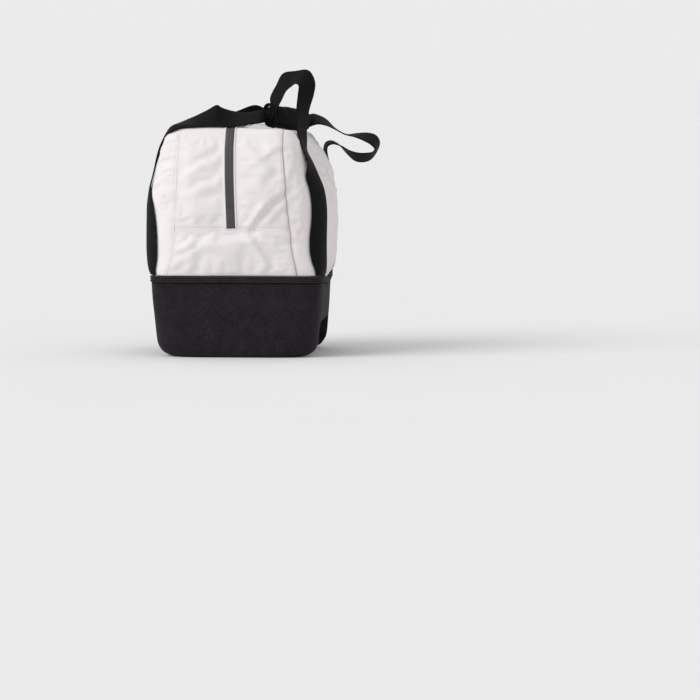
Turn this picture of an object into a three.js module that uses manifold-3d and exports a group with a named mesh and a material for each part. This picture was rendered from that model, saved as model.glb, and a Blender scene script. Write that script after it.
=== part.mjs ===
// Bicycle trunk bag: a stiff tub with a tunnel below, a soft zipped body and two webbing handles that
// a padded wrap holds together.
// Millimetres. +X is the direction of travel, +Y points away from the near side, +Z is up.
// The origin is the middle of the tunnel roof, on which the bag is carried.

import * as THREE from "three";
import { mergeVertices } from "three/addons/utils/BufferGeometryUtils.js";
import Module from "manifold-3d";

const wasm = await Module();
wasm.setup();

// Tub
const TUB_WIDTH = 274;
const TUB_DEPTH = 250;
const TUB_HEIGHT = 118;
const TUB_WALL = 4;
const TUNNEL_WIDTH = 160;
const TUNNEL_HEIGHT = 54;
const TUNNEL_ROUND = 9;
const TUNNEL_OVERRUN = 20;

// Rim band
const BAND_HEIGHT = 11;
const BAND_PROUD = 2.6;
const BAND_RIB = 0.9;
const BAND_SAG = 8;

// Soft body
const BODY_SPREAD_WIDTH = 20;
const BODY_SPREAD_DEPTH = 8;
const BODY_WIDTH = TUB_WIDTH + BODY_SPREAD_WIDTH;
const BODY_DEPTH = TUB_DEPTH + BODY_SPREAD_DEPTH;
const BODY_HEIGHT = 236.5;
const BODY_CUT_BELOW = 20;
const CLOTH = 2.4;
const DOME_RISE = 5;

// Zip
const ZIP_WIDTH = 15;
const ZIP_THICK = 1.4;
const ZIP_INSET = 0.3;
const SLIDER_WIDTH = 9;
const SLIDER_LENGTH = 16;
const SLIDER_THICK = 3.6;

// Handles
const WEB_WIDTH = 38;
const WEB_THICK = 2;
const HANDLE_RISE = 84;
const HANDLE_LIFT = 5.5;
const WEB_SEAT = 0.55;
const GRIP_HEIGHT = 33;
const GRIP_BREADTH = 25;
const GRIP_WALL = 3;
const GRIP_PLAY = 5;
const GRIP_WEB_APART = 6;

// Clearances
const GAP = 0.35;

// Levels that follow from the sizes
const FLOOR = -TUNNEL_HEIGHT;
const BAND_FOOT = FLOOR + TUB_HEIGHT + GAP;
const BAND_TOP = BAND_FOOT + BAND_HEIGHT - GAP;
const BODY_FOOT = BAND_TOP + GAP;
const CREST = FLOOR + TUB_HEIGHT + BAND_HEIGHT + BODY_HEIGHT;
const HALF_WIDTH = BODY_WIDTH / 2;
const HALF_DEPTH = BODY_DEPTH / 2;
const AROUND = 48;
const SHEET_STEPS = 4;

// Rows of the tub from foot to rim: level as a share of the tub's height, half width and half depth
// as shares of the rim's.
const TUB_ROWS = [
  { level: 0, wide: 0.79, deep: 0.925, square: 5 },
  { level: 0.02, wide: 0.845, deep: 0.945, square: 5 },
  { level: 0.06, wide: 0.895, deep: 0.96, square: 5.5 },
  { level: 0.12, wide: 0.93, deep: 0.97, square: 6 },
  { level: 0.2, wide: 0.95, deep: 0.974, square: 7 },
  { level: 0.45, wide: 0.966, deep: 0.981, square: 8 },
  { level: 0.75, wide: 0.986, deep: 0.992, square: 9 },
  { level: 1, wide: 1, deep: 1, square: 9 },
];

// Rows of the soft body from rim to crest: level as a share of the body's height, half width and half
// depth as shares of the widest, squareness of the plan, twist in degrees seen from above.
const BODY_ROWS = [
  { level: 0, wide: 0.934, deep: 0.969, square: 7.5, turn: 0 },
  { level: 0.08, wide: 0.974, deep: 0.984, square: 4.9, turn: -1.4 },
  { level: 0.2, wide: 0.998, deep: 0.992, square: 3.7, turn: -2.6 },
  { level: 0.38, wide: 1, deep: 1, square: 3.3, turn: -2.8 },
  { level: 0.525, wide: 0.986, deep: 0.99, square: 3.3, turn: -3 },
  { level: 0.671, wide: 0.939, deep: 0.961, square: 3.3, turn: -3.4 },
  { level: 0.8375, wide: 0.837, deep: 0.891, square: 3.7, turn: -4.6 },
  { level: 0.95, wide: 0.715, deep: 0.81, square: 4.4, turn: -6 },
  { level: 1, wide: 0.585, deep: 0.68, square: 4.6, turn: -7 },
];

// The two long seams on the near side: level as a share of the body's height, distance from the
// middle as shares of the half width. The far side has them turned half round.
const SEAM_ROWS = [
  { level: -0.05, rear: -0.75, front: 0.668 },
  { level: 0, rear: -0.746, front: 0.665 },
  { level: 0.12, rear: -0.7, front: 0.622 },
  { level: 0.3167, rear: -0.666, front: 0.584 },
  { level: 0.64, rear: -0.65, front: 0.526 },
  { level: 0.9, rear: -0.65, front: 0.49 },
  { level: 1, rear: -0.65, front: 0.475 },
  { level: 1.3, rear: -0.65, front: 0.475 },
];
const ZIP_FOOT_LEVEL = 0.3167;

// Soft dents: middle as shares of half width, half depth and body height, reach as shares of the
// same three, push as a share of the half width or, for a top dent, of the body height.
const SIDE_DENTS = [
  { x: 0.8, y: -0.37, level: 0.8, reachY: 0.22, reachZ: 0.1, push: -0.1 },
  { x: 0.8, y: -0.8, level: 0.62, reachY: 0.2, reachZ: 0.12, push: -0.02 },
  { x: -0.9, y: -0.45, level: 0.72, reachY: 0.22, reachZ: 0.1, push: -0.02 },
];
const GRIP_DENT = { depth: 0.068, reach: 0.27 };

// Folds of the near and far faces: each is a line from a to b, shares of half width and body height.
const FOLDS = [
  { ax: 0.44, al: 0.5, bx: 0.04, bl: 0.33, reach: 0.085, push: -0.021 },
  { ax: 0.5, al: 0.56, bx: 0.1, bl: 0.38, reach: 0.085, push: 0.014 },
  { ax: -0.58, al: 0.6, bx: -0.3, bl: 0.68, reach: 0.085, push: -0.012 },
  { ax: -0.58, al: 0.45, bx: -0.2, bl: 0.54, reach: 0.085, push: -0.012 },
  { ax: -0.72, al: 0.2, bx: 0.1, bl: 0.24, reach: 0.085, push: 0.012 },
  { ax: 0.1, al: 0.1, bx: 0.55, bl: 0.2, reach: 0.085, push: 0.01 },
];

// Free run of the front handle from its near leg to the wrap: near edge and far edge of the webbing,
// across and along as shares of half width and half depth, up as a share of the handle's rise.
const FRONT_NEAR_RUN = [
  { nx: 0.79, ny: -0.76, nz: -0.744, fx: 0.835, fy: -0.48, fz: -0.75 },
  { nx: 0.745, ny: -0.73, nz: -0.536, fx: 0.765, fy: -0.45, fz: -0.54 },
  { nx: 0.693, ny: -0.69, nz: -0.345, fx: 0.735, fy: -0.42, fz: -0.355 },
  { nx: 0.648, ny: -0.65, nz: -0.158, fx: 0.732, fy: -0.38, fz: -0.169 },
  { nx: 0.635, ny: -0.61, nz: 0.06, fx: 0.738, fy: -0.35, fz: 0.02 },
  { nx: 0.633, ny: -0.58, nz: 0.28, fx: 0.762, fy: -0.335, fz: 0.26 },
  { nx: 0.645, ny: -0.56, nz: 0.52, fx: 0.81, fy: -0.34, fz: 0.53 },
  { nx: 0.65, ny: -0.54, nz: 0.68, fx: 0.82, fy: -0.335, fz: 0.76 },
  { nx: 0.61, ny: -0.49, nz: 0.71, fx: 0.745, fy: -0.28, fz: 0.97 },
  { nx: 0.56, ny: -0.45, nz: 0.64, fx: 0.61, fy: -0.23, fz: 0.94 },
  { nx: 0.515, ny: -0.43, nz: 0.56, fx: 0.47, fy: -0.2, fz: 0.88 },
  { nx: 0.475, ny: -0.45, nz: 0.44, fx: 0.385, fy: -0.22, fz: 0.66 },
  { nx: 0.43, ny: -0.47, nz: 0.3, fx: 0.325, fy: -0.26, fz: 0.45 },
];

// Free run of the front handle from the wrap to its far leg.
const FRONT_FAR_RUN = [
  { nx: 0.79, ny: 0.33, nz: -0.08, fx: 0.75, fy: 0.58, fz: 0.12 },
  { nx: 0.888, ny: 0.388, nz: -0.1, fx: 0.87, fy: 0.667, fz: 0.02 },
  { nx: 0.992, ny: 0.419, nz: -0.177, fx: 0.975, fy: 0.698, fz: -0.169 },
  { nx: 1.093, ny: 0.434, nz: -0.269, fx: 1.099, fy: 0.713, fz: -0.286 },
  { nx: 1.2, ny: 0.442, nz: -0.323, fx: 1.217, fy: 0.713, fz: -0.26 },
  { nx: 1.305, ny: 0.45, nz: -0.398, fx: 1.331, fy: 0.713, fz: -0.25 },
  { nx: 1.389, ny: 0.45, nz: -0.487, fx: 1.42, fy: 0.717, fz: -0.29 },
  { nx: 1.422, ny: 0.45, nz: -0.56, fx: 1.466, fy: 0.721, fz: -0.42 },
  { nx: 1.4, ny: 0.45, nz: -0.61, fx: 1.428, fy: 0.721, fz: -0.633 },
  { nx: 1.345, ny: 0.45, nz: -0.625, fx: 1.347, fy: 0.717, fz: -0.79 },
  { nx: 1.253, ny: 0.45, nz: -0.627, fx: 1.21, fy: 0.713, fz: -0.81 },
  { nx: 1.148, ny: 0.442, nz: -0.582, fx: 1.1, fy: 0.705, fz: -0.652 },
  { nx: 1.044, ny: 0.426, nz: -0.486, fx: 1.027, fy: 0.698, fz: -0.498 },
  { nx: 0.955, ny: 0.42, nz: -0.46, fx: 0.925, fy: 0.69, fz: -0.4 },
  { nx: 0.9, ny: 0.44, nz: -0.53, fx: 0.855, fy: 0.71, fz: -0.46 },
];

// Free run of the rear handle from its near leg to the wrap: near edge low, far edge high.
const REAR_NEAR_RUN = [
  { nx: -0.67, ny: -0.7, nz: -0.14, fx: -0.69, fy: -0.43, fz: -0.03 },
  { nx: -0.57, ny: -0.7, nz: -0.02, fx: -0.57, fy: -0.42, fz: 0.13 },
  { nx: -0.44, ny: -0.67, nz: 0.02, fx: -0.45, fy: -0.44, fz: 0.2 },
  { nx: -0.3, ny: -0.655, nz: 0.03, fx: -0.33, fy: -0.46, fz: 0.31 },
  { nx: -0.17, ny: -0.645, nz: 0.05, fx: -0.21, fy: -0.48, fz: 0.36 },
  { nx: -0.05, ny: -0.63, nz: 0.07, fx: -0.1, fy: -0.41, fz: 0.26 },
  { nx: 0.1, ny: -0.6, nz: 0.1, fx: 0.08, fy: -0.31, fz: 0.14 },
  { nx: 0.22, ny: -0.55, nz: 0.08, fx: 0.2, fy: -0.3, fz: 0.2 },
];

// Free run of the rear handle from the wrap to its far leg: near edge high, far edge low.
const REAR_FAR_RUN = [
  { nx: 0.66, ny: 0.5, nz: 0.38, fx: 0.66, fy: 0.53, fz: 0.04 },
  { nx: 0.56, ny: 0.66, nz: 0.42, fx: 0.56, fy: 0.7, fz: 0.02 },
  { nx: 0.36, ny: 0.68, nz: 0.42, fx: 0.36, fy: 0.74, fz: 0.03 },
  { nx: 0.1, ny: 0.62, nz: 0.38, fx: 0.1, fy: 0.72, fz: 0.03 },
  { nx: -0.15, ny: 0.56, nz: 0.28, fx: -0.15, fy: 0.72, fz: 0.02 },
  { nx: -0.38, ny: 0.5, nz: 0.16, fx: -0.38, fy: 0.72, fz: 0.01 },
  { nx: -0.55, ny: 0.44, nz: 0.08, fx: -0.56, fy: 0.7, fz: -0.04 },
  { nx: -0.68, ny: 0.38, nz: -0.06, fx: -0.69, fy: 0.66, fz: -0.18 },
];

// The wrap's two ends, in the same shares.
const GRIP_MOUTH = { x: 0.345, y: -0.3, up: 0.17 };
const GRIP_TAIL = { x: 0.66, y: 0.33, up: 0.05 };

// Level shares of the sewn legs, foot to shoulder.
const LEG_LEVELS = [0.02, 0.055, 0.1, 0.17, 0.26, 0.36, 0.46, 0.57, 0.66];
const SHOULDER_LEVELS = [0.74, 0.82, 0.885];
const LEG_ACROSS = 0.6;
const LEG_LEAN = 0.11;

const COLOURS = {
  white: { color: 0xe9e5e4, roughness: 0.75, metalness: 0 },
  side: { color: 0xdedad9, roughness: 0.78, metalness: 0 },
  tub: { color: 0x2b272b, roughness: 0.85, metalness: 0 },
  band: { color: 0x343234, roughness: 0.7, metalness: 0 },
  web: { color: 0x151415, roughness: 0.8, metalness: 0 },
  zip: { color: 0x4b4b4e, roughness: 0.5, metalness: 0 },
  slider: { color: 0x3a3a3c, roughness: 0.4, metalness: 0.6 },
};

const group = new THREE.Group();
group.name = "bicycle_trunk_bag";

const addMesh = (name, geometry, look) => {
  const mesh = new THREE.Mesh(geometry, new THREE.MeshStandardMaterial(COLOURS[look]));
  mesh.name = name;
  group.add(mesh);
  return mesh;
};

// Smooth value of one column of a table at a level between its rows.
const columnAt = (rows, column, level) => {
  const last = rows.length - 1;
  let i = 0;
  while (i < last - 1 && level > rows[i + 1].level) i += 1;
  const a = rows[Math.max(i - 1, 0)];
  const b = rows[i];
  const c = rows[i + 1];
  const d = rows[Math.min(i + 2, last)];
  const span = c.level - b.level;
  const s = Math.min(Math.max((level - b.level) / span, 0), 1);
  const slopeB = i === 0 ? (c[column] - b[column]) / span : (c[column] - a[column]) / (c.level - a.level);
  const slopeC =
    i === last - 1 ? (c[column] - b[column]) / span : (d[column] - b[column]) / (d.level - b.level);
  const s2 = s * s;
  const s3 = s2 * s;
  return (
    (2 * s3 - 3 * s2 + 1) * b[column] +
    (s3 - 2 * s2 + s) * span * slopeB +
    (3 * s2 - 2 * s3) * c[column] +
    (s3 - s2) * span * slopeC
  );
};

const bell = (distance) => Math.exp(-0.5 * distance * distance);
const smooth = (lo, hi, value) => THREE.MathUtils.smoothstep(value, lo, hi);

// Distance along the plan's ray from the middle to a rounded square.
const rayLength = (angle, wide, deep, square) =>
  Math.pow(
    Math.pow(Math.abs(Math.cos(angle)) / wide, square) + Math.pow(Math.abs(Math.sin(angle)) / deep, square),
    -1 / square,
  );

// How far the rim hangs in the middle of the rear and front faces.
const sagAt = (y) => BAND_SAG * bell(y / (TUB_DEPTH * 0.15));

// Ray angles, closer together at the four corners.
const rayAngles = [];
for (let i = 0; i < AROUND; i += 1) {
  const even = ((i + 0.5) / AROUND) * Math.PI * 2;
  rayAngles.push(even + 0.045 * Math.sin(4 * even));
}

// A closed surface through rings of points, with a flat or pointed end at each side.
const loftRings = (rings) => {
  const around = rings[0].length;
  const positions = [];
  const index = [];
  rings.forEach((ring) => ring.forEach((p) => positions.push(p.x, p.y, p.z)));
  for (let r = 0; r < rings.length - 1; r += 1) {
    for (let i = 0; i < around; i += 1) {
      const j = (i + 1) % around;
      const a = r * around + i;
      const b = r * around + j;
      const c = (r + 1) * around + j;
      const d = (r + 1) * around + i;
      index.push(a, b, c, a, c, d);
    }
  }
  const cap = (ring, start, up) => {
    const middle = new THREE.Vector3();
    ring.forEach((p) => middle.addScaledVector(p, 1 / around));
    const centre = positions.length / 3;
    positions.push(middle.x, middle.y, middle.z);
    for (let i = 0; i < around; i += 1) {
      const j = (i + 1) % around;
      if (up) index.push(start + i, start + j, centre);
      else index.push(start + j, start + i, centre);
    }
  };
  cap(rings[0], 0, false);
  cap(rings[rings.length - 1], (rings.length - 1) * around, true);
  const geometry = new THREE.BufferGeometry();
  geometry.setAttribute("position", new THREE.Float32BufferAttribute(positions, 3));
  geometry.setIndex(index);
  return geometry;
};

const toSolid = (geometry) => {
  const plain = geometry.index ? geometry.toNonIndexed() : geometry.clone();
  plain.deleteAttribute("normal");
  plain.deleteAttribute("uv");
  const merged = mergeVertices(plain, 1e-4);
  return new wasm.Manifold(
    new wasm.Mesh({
      numProp: 3,
      vertProperties: new Float32Array(merged.attributes.position.array),
      triVerts: new Uint32Array(merged.index.array),
    }),
  );
};

const toGeometry = (solid) => {
  const mesh = solid.getMesh();
  const geometry = new THREE.BufferGeometry();
  geometry.setAttribute("position", new THREE.Float32BufferAttribute(mesh.vertProperties, 3));
  geometry.setIndex(new THREE.BufferAttribute(mesh.triVerts, 1));
  const flat = geometry.toNonIndexed();
  flat.computeVertexNormals();
  return flat;
};

// Tub

const tubRing = (level, inset, lift) => {
  const wide = (columnAt(TUB_ROWS, "wide", level) * TUB_WIDTH) / 2 - inset;
  const deep = (columnAt(TUB_ROWS, "deep", level) * TUB_DEPTH) / 2 - inset;
  const square = columnAt(TUB_ROWS, "square", level);
  return rayAngles.map((angle) => {
    const ray = rayLength(angle, wide, deep, square);
    const x = ray * Math.cos(angle);
    const y = ray * Math.sin(angle);
    const side = smooth(0.5, 0.9, Math.abs(x) / wide);
    const drop = sagAt(y) * side * smooth(0.35, 1, level);
    return new THREE.Vector3(x, y, FLOOR + level * TUB_HEIGHT + lift - drop);
  });
};

const tubLevels = TUB_ROWS.map((row) => row.level);
const tubOuter = toSolid(loftRings(tubLevels.map((level) => tubRing(level, 0, 0))));
const innerLevels = tubLevels.filter((level) => level > 0.01);
const innerRings = innerLevels.map((level) => tubRing(level, TUB_WALL, 0));
innerRings.unshift(tubRing(0.02, TUB_WALL * 1.6, TUB_WALL - 0.02 * TUB_HEIGHT));
innerRings[1] = tubRing(0.06, TUB_WALL, 0);
innerRings.splice(2, 1);
innerRings.push(tubRing(1, TUB_WALL, TUB_WALL));
const tubInner = toSolid(loftRings(innerRings));

const tunnelSolid = (grow) => {
  const half = TUNNEL_WIDTH / 2 + grow;
  const roof = grow;
  const round = TUNNEL_ROUND + grow;
  const shape = new THREE.Shape();
  shape.moveTo(-half, FLOOR - TUNNEL_OVERRUN);
  shape.lineTo(half, FLOOR - TUNNEL_OVERRUN);
  shape.lineTo(half, roof - round);
  shape.quadraticCurveTo(half, roof, half - round, roof);
  shape.lineTo(-half + round, roof);
  shape.quadraticCurveTo(-half, roof, -half, roof - round);
  const length = TUB_WIDTH + 2 * TUNNEL_OVERRUN;
  const geometry = new THREE.ExtrudeGeometry(shape, { depth: length, bevelEnabled: false, curveSegments: 6 });
  geometry.rotateX(Math.PI / 2);
  geometry.rotateZ(Math.PI / 2);
  geometry.translate(-length / 2, 0, 0);
  return toSolid(geometry);
};
const tubCavity = tubInner.subtract(tunnelSolid(TUB_WALL));
addMesh("base_shell", toGeometry(tubOuter.subtract(tunnelSolid(0)).subtract(tubCavity)), "tub");

// Rim band: outer profile with three ribs, swept round the rim.

const bandProfile = [
  { out: 0.2, level: 0 },
  { out: 1, level: 0.05 },
  { out: 1, level: 0.27 },
  { out: 0, level: 0.33, groove: true },
  { out: 1, level: 0.39 },
  { out: 1, level: 0.61 },
  { out: 0, level: 0.67, groove: true },
  { out: 1, level: 0.73 },
  { out: 1, level: 0.95 },
  { out: 0.2, level: 1 },
];
const rimSquare = TUB_ROWS[TUB_ROWS.length - 1].square;
const bandRing = (offset, z) =>
  rayAngles.map((angle) => {
    const wide = TUB_WIDTH / 2 + offset;
    const deep = TUB_DEPTH / 2 + offset;
    const ray = rayLength(angle, wide, deep, rimSquare);
    const x = ray * Math.cos(angle);
    const y = ray * Math.sin(angle);
    const side = smooth(0.5, 0.9, Math.abs(x) / wide);
    return new THREE.Vector3(x, y, z - sagAt(y) * side);
  });
const bandRings = bandProfile.map((row) => {
  const offset = row.groove ? BAND_PROUD - BAND_RIB : BAND_PROUD * row.out;
  return bandRing(offset, BAND_FOOT + row.level * (BAND_TOP - BAND_FOOT));
});
bandRings.push(bandRing(-TUB_WALL, BAND_TOP));
bandRings.push(bandRing(-TUB_WALL, BAND_FOOT));

// A ring-shaped surface whose last ring joins its first.
const loftHoop = (rings) => {
  const around = rings[0].length;
  const positions = [];
  const index = [];
  rings.forEach((ring) => ring.forEach((p) => positions.push(p.x, p.y, p.z)));
  for (let r = 0; r < rings.length; r += 1) {
    for (let i = 0; i < around; i += 1) {
      const j = (i + 1) % around;
      const next = (r + 1) % rings.length;
      const a = r * around + i;
      const b = r * around + j;
      const c = next * around + j;
      const d = next * around + i;
      index.push(a, b, c, a, c, d);
    }
  }
  const geometry = new THREE.BufferGeometry();
  geometry.setAttribute("position", new THREE.Float32BufferAttribute(positions, 3));
  geometry.setIndex(index);
  return geometry;
};
addMesh("rim_band", toGeometry(toSolid(loftHoop(bandRings))), "band");

// Soft body

const gripEnd = (end) =>
  new THREE.Vector3(end.x * HALF_WIDTH, end.y * HALF_DEPTH, CREST + end.up * HANDLE_RISE);
const gripMouth = gripEnd(GRIP_MOUTH);
const gripTail = gripEnd(GRIP_TAIL);
const gripRun = gripTail.clone().sub(gripMouth).normalize();

const distanceToLine = (px, py, ax, ay, bx, by) => {
  const dx = bx - ax;
  const dy = by - ay;
  const s = Math.min(Math.max(((px - ax) * dx + (py - ay) * dy) / (dx * dx + dy * dy), 0), 1);
  return Math.hypot(px - ax - s * dx, py - ay - s * dy);
};

// One point of the body's skin. Station 0 is the rim, 1 the edge of the crown and 2 its middle.
const skinPoint = (angle, station) => {
  const level = Math.min(station, 1);
  const crown = Math.max(2 - Math.max(station, 1), 0.001);
  const wide = columnAt(BODY_ROWS, "wide", level) * HALF_WIDTH * crown;
  const deep = columnAt(BODY_ROWS, "deep", level) * HALF_DEPTH * crown;
  const square = columnAt(BODY_ROWS, "square", level) - 0.8 * (1 - crown);
  const turn = THREE.MathUtils.degToRad(columnAt(BODY_ROWS, "turn", level));
  const ray = rayLength(angle, wide, deep, square);
  const x = ray * Math.cos(angle);
  const y = ray * Math.sin(angle);
  const side = smooth(0.5, 0.9, Math.abs(x) / Math.max(wide, 1));
  const hang = sagAt(y) * side * (1 - smooth(0, 0.3, level));
  const rise = BODY_FOOT + level * (CREST - BODY_FOOT);
  const point = new THREE.Vector3(
    x * Math.cos(turn) - y * Math.sin(turn),
    x * Math.sin(turn) + y * Math.cos(turn),
    rise + DOME_RISE * (1 - crown * crown) - hang,
  );
  const facing = smooth(0.55, 0.95, Math.abs(y) / Math.max(deep, 1)) * smooth(0.3, 1, crown);
  let push = 0;
  FOLDS.forEach((fold) => {
    const across = Math.sign(-y || 1) * point.x;
    const away = distanceToLine(
      across / HALF_WIDTH,
      (level * BODY_HEIGHT) / HALF_WIDTH,
      fold.ax,
      (fold.al * BODY_HEIGHT) / HALF_WIDTH,
      fold.bx,
      (fold.bl * BODY_HEIGHT) / HALF_WIDTH,
    );
    push += fold.push * HALF_WIDTH * bell(away / fold.reach) * facing;
  });
  point.y += push * Math.sign(y || 1);
  SIDE_DENTS.forEach((dent) => {
    if (Math.sign(dent.x) !== Math.sign(point.x)) return;
    const away = Math.hypot(
      (point.y / HALF_DEPTH - dent.y) / dent.reachY,
      (level - dent.level) / dent.reachZ,
    );
    point.x += dent.push * HALF_WIDTH * bell(away) * Math.sign(dent.x) * side;
  });
  const fromGrip = distanceToLine(point.x, point.y, gripMouth.x, gripMouth.y, gripTail.x, gripTail.y);
  point.z -=
    GRIP_DENT.depth * BODY_HEIGHT * bell(fromGrip / (GRIP_DENT.reach * HALF_WIDTH)) * smooth(0.7, 0.98, level);
  return point;
};

// The same point moved out along the skin's own normal.
const skinOffset = (angle, station, offset) => {
  const point = skinPoint(angle, station);
  if (station > 1.97) return point.add(new THREE.Vector3(0, 0, offset));
  const step = 0.004;
  const low = Math.max(station - step, 0);
  const along = skinPoint(angle, station + step).sub(skinPoint(angle, low));
  const round = skinPoint(angle + step, station).sub(skinPoint(angle - step, station));
  const normal = round.cross(along).normalize();
  if (station < 0.001) normal.setZ(0).normalize();
  return point.addScaledVector(normal, offset);
};

const SKIN_STATIONS = [
  0, 0.06, 0.13, 0.21, 0.29, 0.37, 0.46, 0.54, 0.62, 0.69, 0.755, 0.81, 0.86, 0.905, 0.945, 0.975, 1, 1.2,
  1.5, 1.8,
];
const skinRings = (offset) => SKIN_STATIONS.map((s) => rayAngles.map((angle) => skinOffset(angle, s, offset)));
const innerSkin = skinRings(-CLOTH);
innerSkin.unshift(innerSkin[0].map((p) => new THREE.Vector3(p.x, p.y, p.z - BODY_CUT_BELOW)));
const bodyShell = toSolid(loftRings(skinRings(0))).subtract(toSolid(loftRings(innerSkin)));
const zipInner = skinRings(-ZIP_INSET - ZIP_THICK);
zipInner.unshift(zipInner[0].map((p) => new THREE.Vector3(p.x, p.y, p.z - BODY_CUT_BELOW)));
const zipShell = toSolid(loftRings(skinRings(-ZIP_INSET))).subtract(toSolid(loftRings(zipInner)));

// Across position of a long seam at a level and a distance from the middle.
const seamAt = (which, level, y) => {
  const other = which === "rear" ? "front" : "rear";
  const near = columnAt(SEAM_ROWS, which, level) * HALF_WIDTH;
  const far = -columnAt(SEAM_ROWS, other, level) * HALF_WIDTH;
  return (near + far) / 2 + ((far - near) / 2) * (y / HALF_DEPTH);
};
const rearSeam = (level, y) => seamAt("rear", level, y);
const frontSeam = (level, y) => seamAt("front", level, y);
const zipLine = (level, y) => (rearSeam(level, y) + frontSeam(level, y)) / 2;
const outerRear = () => -HALF_WIDTH * 2;
const outerFront = () => HALF_WIDTH * 2;

// A block between two upright sheets, from one level to another and from one y to another.
const blockBetween = (left, leftShift, right, rightShift, lowLevel, highLevel, yNear, yFar) => {
  const rows = [lowLevel];
  for (let level = -0.06; level < highLevel - 0.01; level += 0.06) if (level > lowLevel + 0.01) rows.push(level);
  rows.push(highLevel);
  const rings = rows.map((level) => {
    const z = BODY_FOOT + level * (CREST - BODY_FOOT);
    const ring = [];
    for (let i = 0; i <= SHEET_STEPS; i += 1) {
      const y = yNear + ((yFar - yNear) * i) / SHEET_STEPS;
      ring.push(new THREE.Vector3(right(level, y) + rightShift, y, z));
    }
    for (let i = SHEET_STEPS; i >= 0; i -= 1) {
      const y = yNear + ((yFar - yNear) * i) / SHEET_STEPS;
      ring.push(new THREE.Vector3(left(level, y) + leftShift, y, z));
    }
    return ring;
  });
  return toSolid(loftRings(rings));
};

const REACH = HALF_DEPTH * 1.6;
const LOW = -0.12;
const HIGH = 1.3;
const slit = GAP / 2;
const seamShare = slit / (CREST - BODY_FOOT);
const zipHalf = ZIP_WIDTH / 2;

const rearSide = bodyShell.intersect(blockBetween(outerRear, 0, rearSeam, -slit, LOW, HIGH, -REACH, REACH));
const frontSide = bodyShell.intersect(blockBetween(frontSeam, slit, outerFront, 0, LOW, HIGH, -REACH, REACH));
const lowTop = ZIP_FOOT_LEVEL - seamShare;
const lidFoot = ZIP_FOOT_LEVEL + seamShare;
const nearLower = bodyShell.intersect(
  blockBetween(rearSeam, slit, frontSeam, -slit, LOW, lowTop, -REACH, 0),
);
const farLower = bodyShell.intersect(blockBetween(rearSeam, slit, frontSeam, -slit, LOW, lowTop, 0, REACH));
const rearLid = bodyShell.intersect(
  blockBetween(rearSeam, slit, zipLine, -zipHalf - slit, lidFoot, HIGH, -REACH, REACH),
);
const frontLid = bodyShell.intersect(
  blockBetween(zipLine, zipHalf + slit, frontSeam, -slit, lidFoot, HIGH, -REACH, REACH),
);
const zipTape = zipShell.intersect(
  blockBetween(zipLine, -zipHalf + slit, zipLine, zipHalf - slit, lidFoot, HIGH, -REACH, REACH),
);

addMesh("near_lower_panel", toGeometry(nearLower), "white");
addMesh("far_lower_panel", toGeometry(farLower), "white");
addMesh("rear_lid_panel", toGeometry(rearLid), "white");
addMesh("front_lid_panel", toGeometry(frontLid), "white");
addMesh("rear_side_panel", toGeometry(rearSide), "side");
addMesh("front_side_panel", toGeometry(frontSide), "side");
addMesh("zip_tape", toGeometry(zipTape), "zip");

// Slider, parked at the far foot of the zip.

const sliderShape = new THREE.Shape();
sliderShape.absellipse(0, 0, SLIDER_WIDTH / 2, SLIDER_LENGTH / 2, 0, Math.PI * 2, false, 0);
const sliderGeometry = new THREE.ExtrudeGeometry(sliderShape, {
  depth: SLIDER_THICK,
  bevelEnabled: false,
  curveSegments: 8,
});
const sliderLevel = ZIP_FOOT_LEVEL + SLIDER_LENGTH / BODY_HEIGHT;
const slider = addMesh("zip_slider", sliderGeometry, "slider");
const sliderSkin = skinOffset(Math.PI / 2, sliderLevel, GAP + SLIDER_THICK);
slider.rotation.set(Math.PI / 2, 0, 0);
slider.position.set(zipLine(sliderLevel, sliderSkin.y), sliderSkin.y + GAP, sliderSkin.z);

// Webbing: rows of points across the width, smoothed along the length and given thickness.

const ACROSS = 4;
const rowBetween = (near, far) => {
  const row = [];
  for (let i = 0; i <= ACROSS; i += 1) row.push(near.clone().lerp(far, i / ACROSS));
  return row;
};
const freeFoot = CREST + HANDLE_LIFT;
const freeRow = (entry) =>
  rowBetween(
    new THREE.Vector3(entry.nx * HALF_WIDTH, entry.ny * HALF_DEPTH, freeFoot + entry.nz * HANDLE_RISE),
    new THREE.Vector3(entry.fx * HALF_WIDTH, entry.fy * HALF_DEPTH, freeFoot + entry.fz * HANDLE_RISE),
  );

// A row sewn to the side of the body. The side is -1 or 1 in x, the end is -1 (near) or 1 (far). The
// rear legs lean to the middle towards the shoulder.
const legRow = (side, end, level) => {
  const lean = side < 0 ? LEG_LEAN * smooth(0.4, 0.7, level) : 0;
  const wide = columnAt(BODY_ROWS, "wide", level) * HALF_WIDTH;
  const deep = columnAt(BODY_ROWS, "deep", level) * HALF_DEPTH;
  const square = columnAt(BODY_ROWS, "square", level);
  const row = [];
  for (let i = 0; i <= ACROSS; i += 1) {
    const y = end * (LEG_ACROSS - lean) * HALF_DEPTH + WEB_WIDTH * (i / ACROSS - 0.5);
    const x = side * wide * Math.pow(1 - Math.pow(Math.abs(y) / deep, square), 1 / square);
    const lift = level > LEG_LEVELS[LEG_LEVELS.length - 1] ? GAP * 4 : GAP;
    row.push(skinOffset(Math.atan2(y, x), level, lift + WEB_THICK / 2 + WEB_SEAT));
  }
  return row;
};

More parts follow.
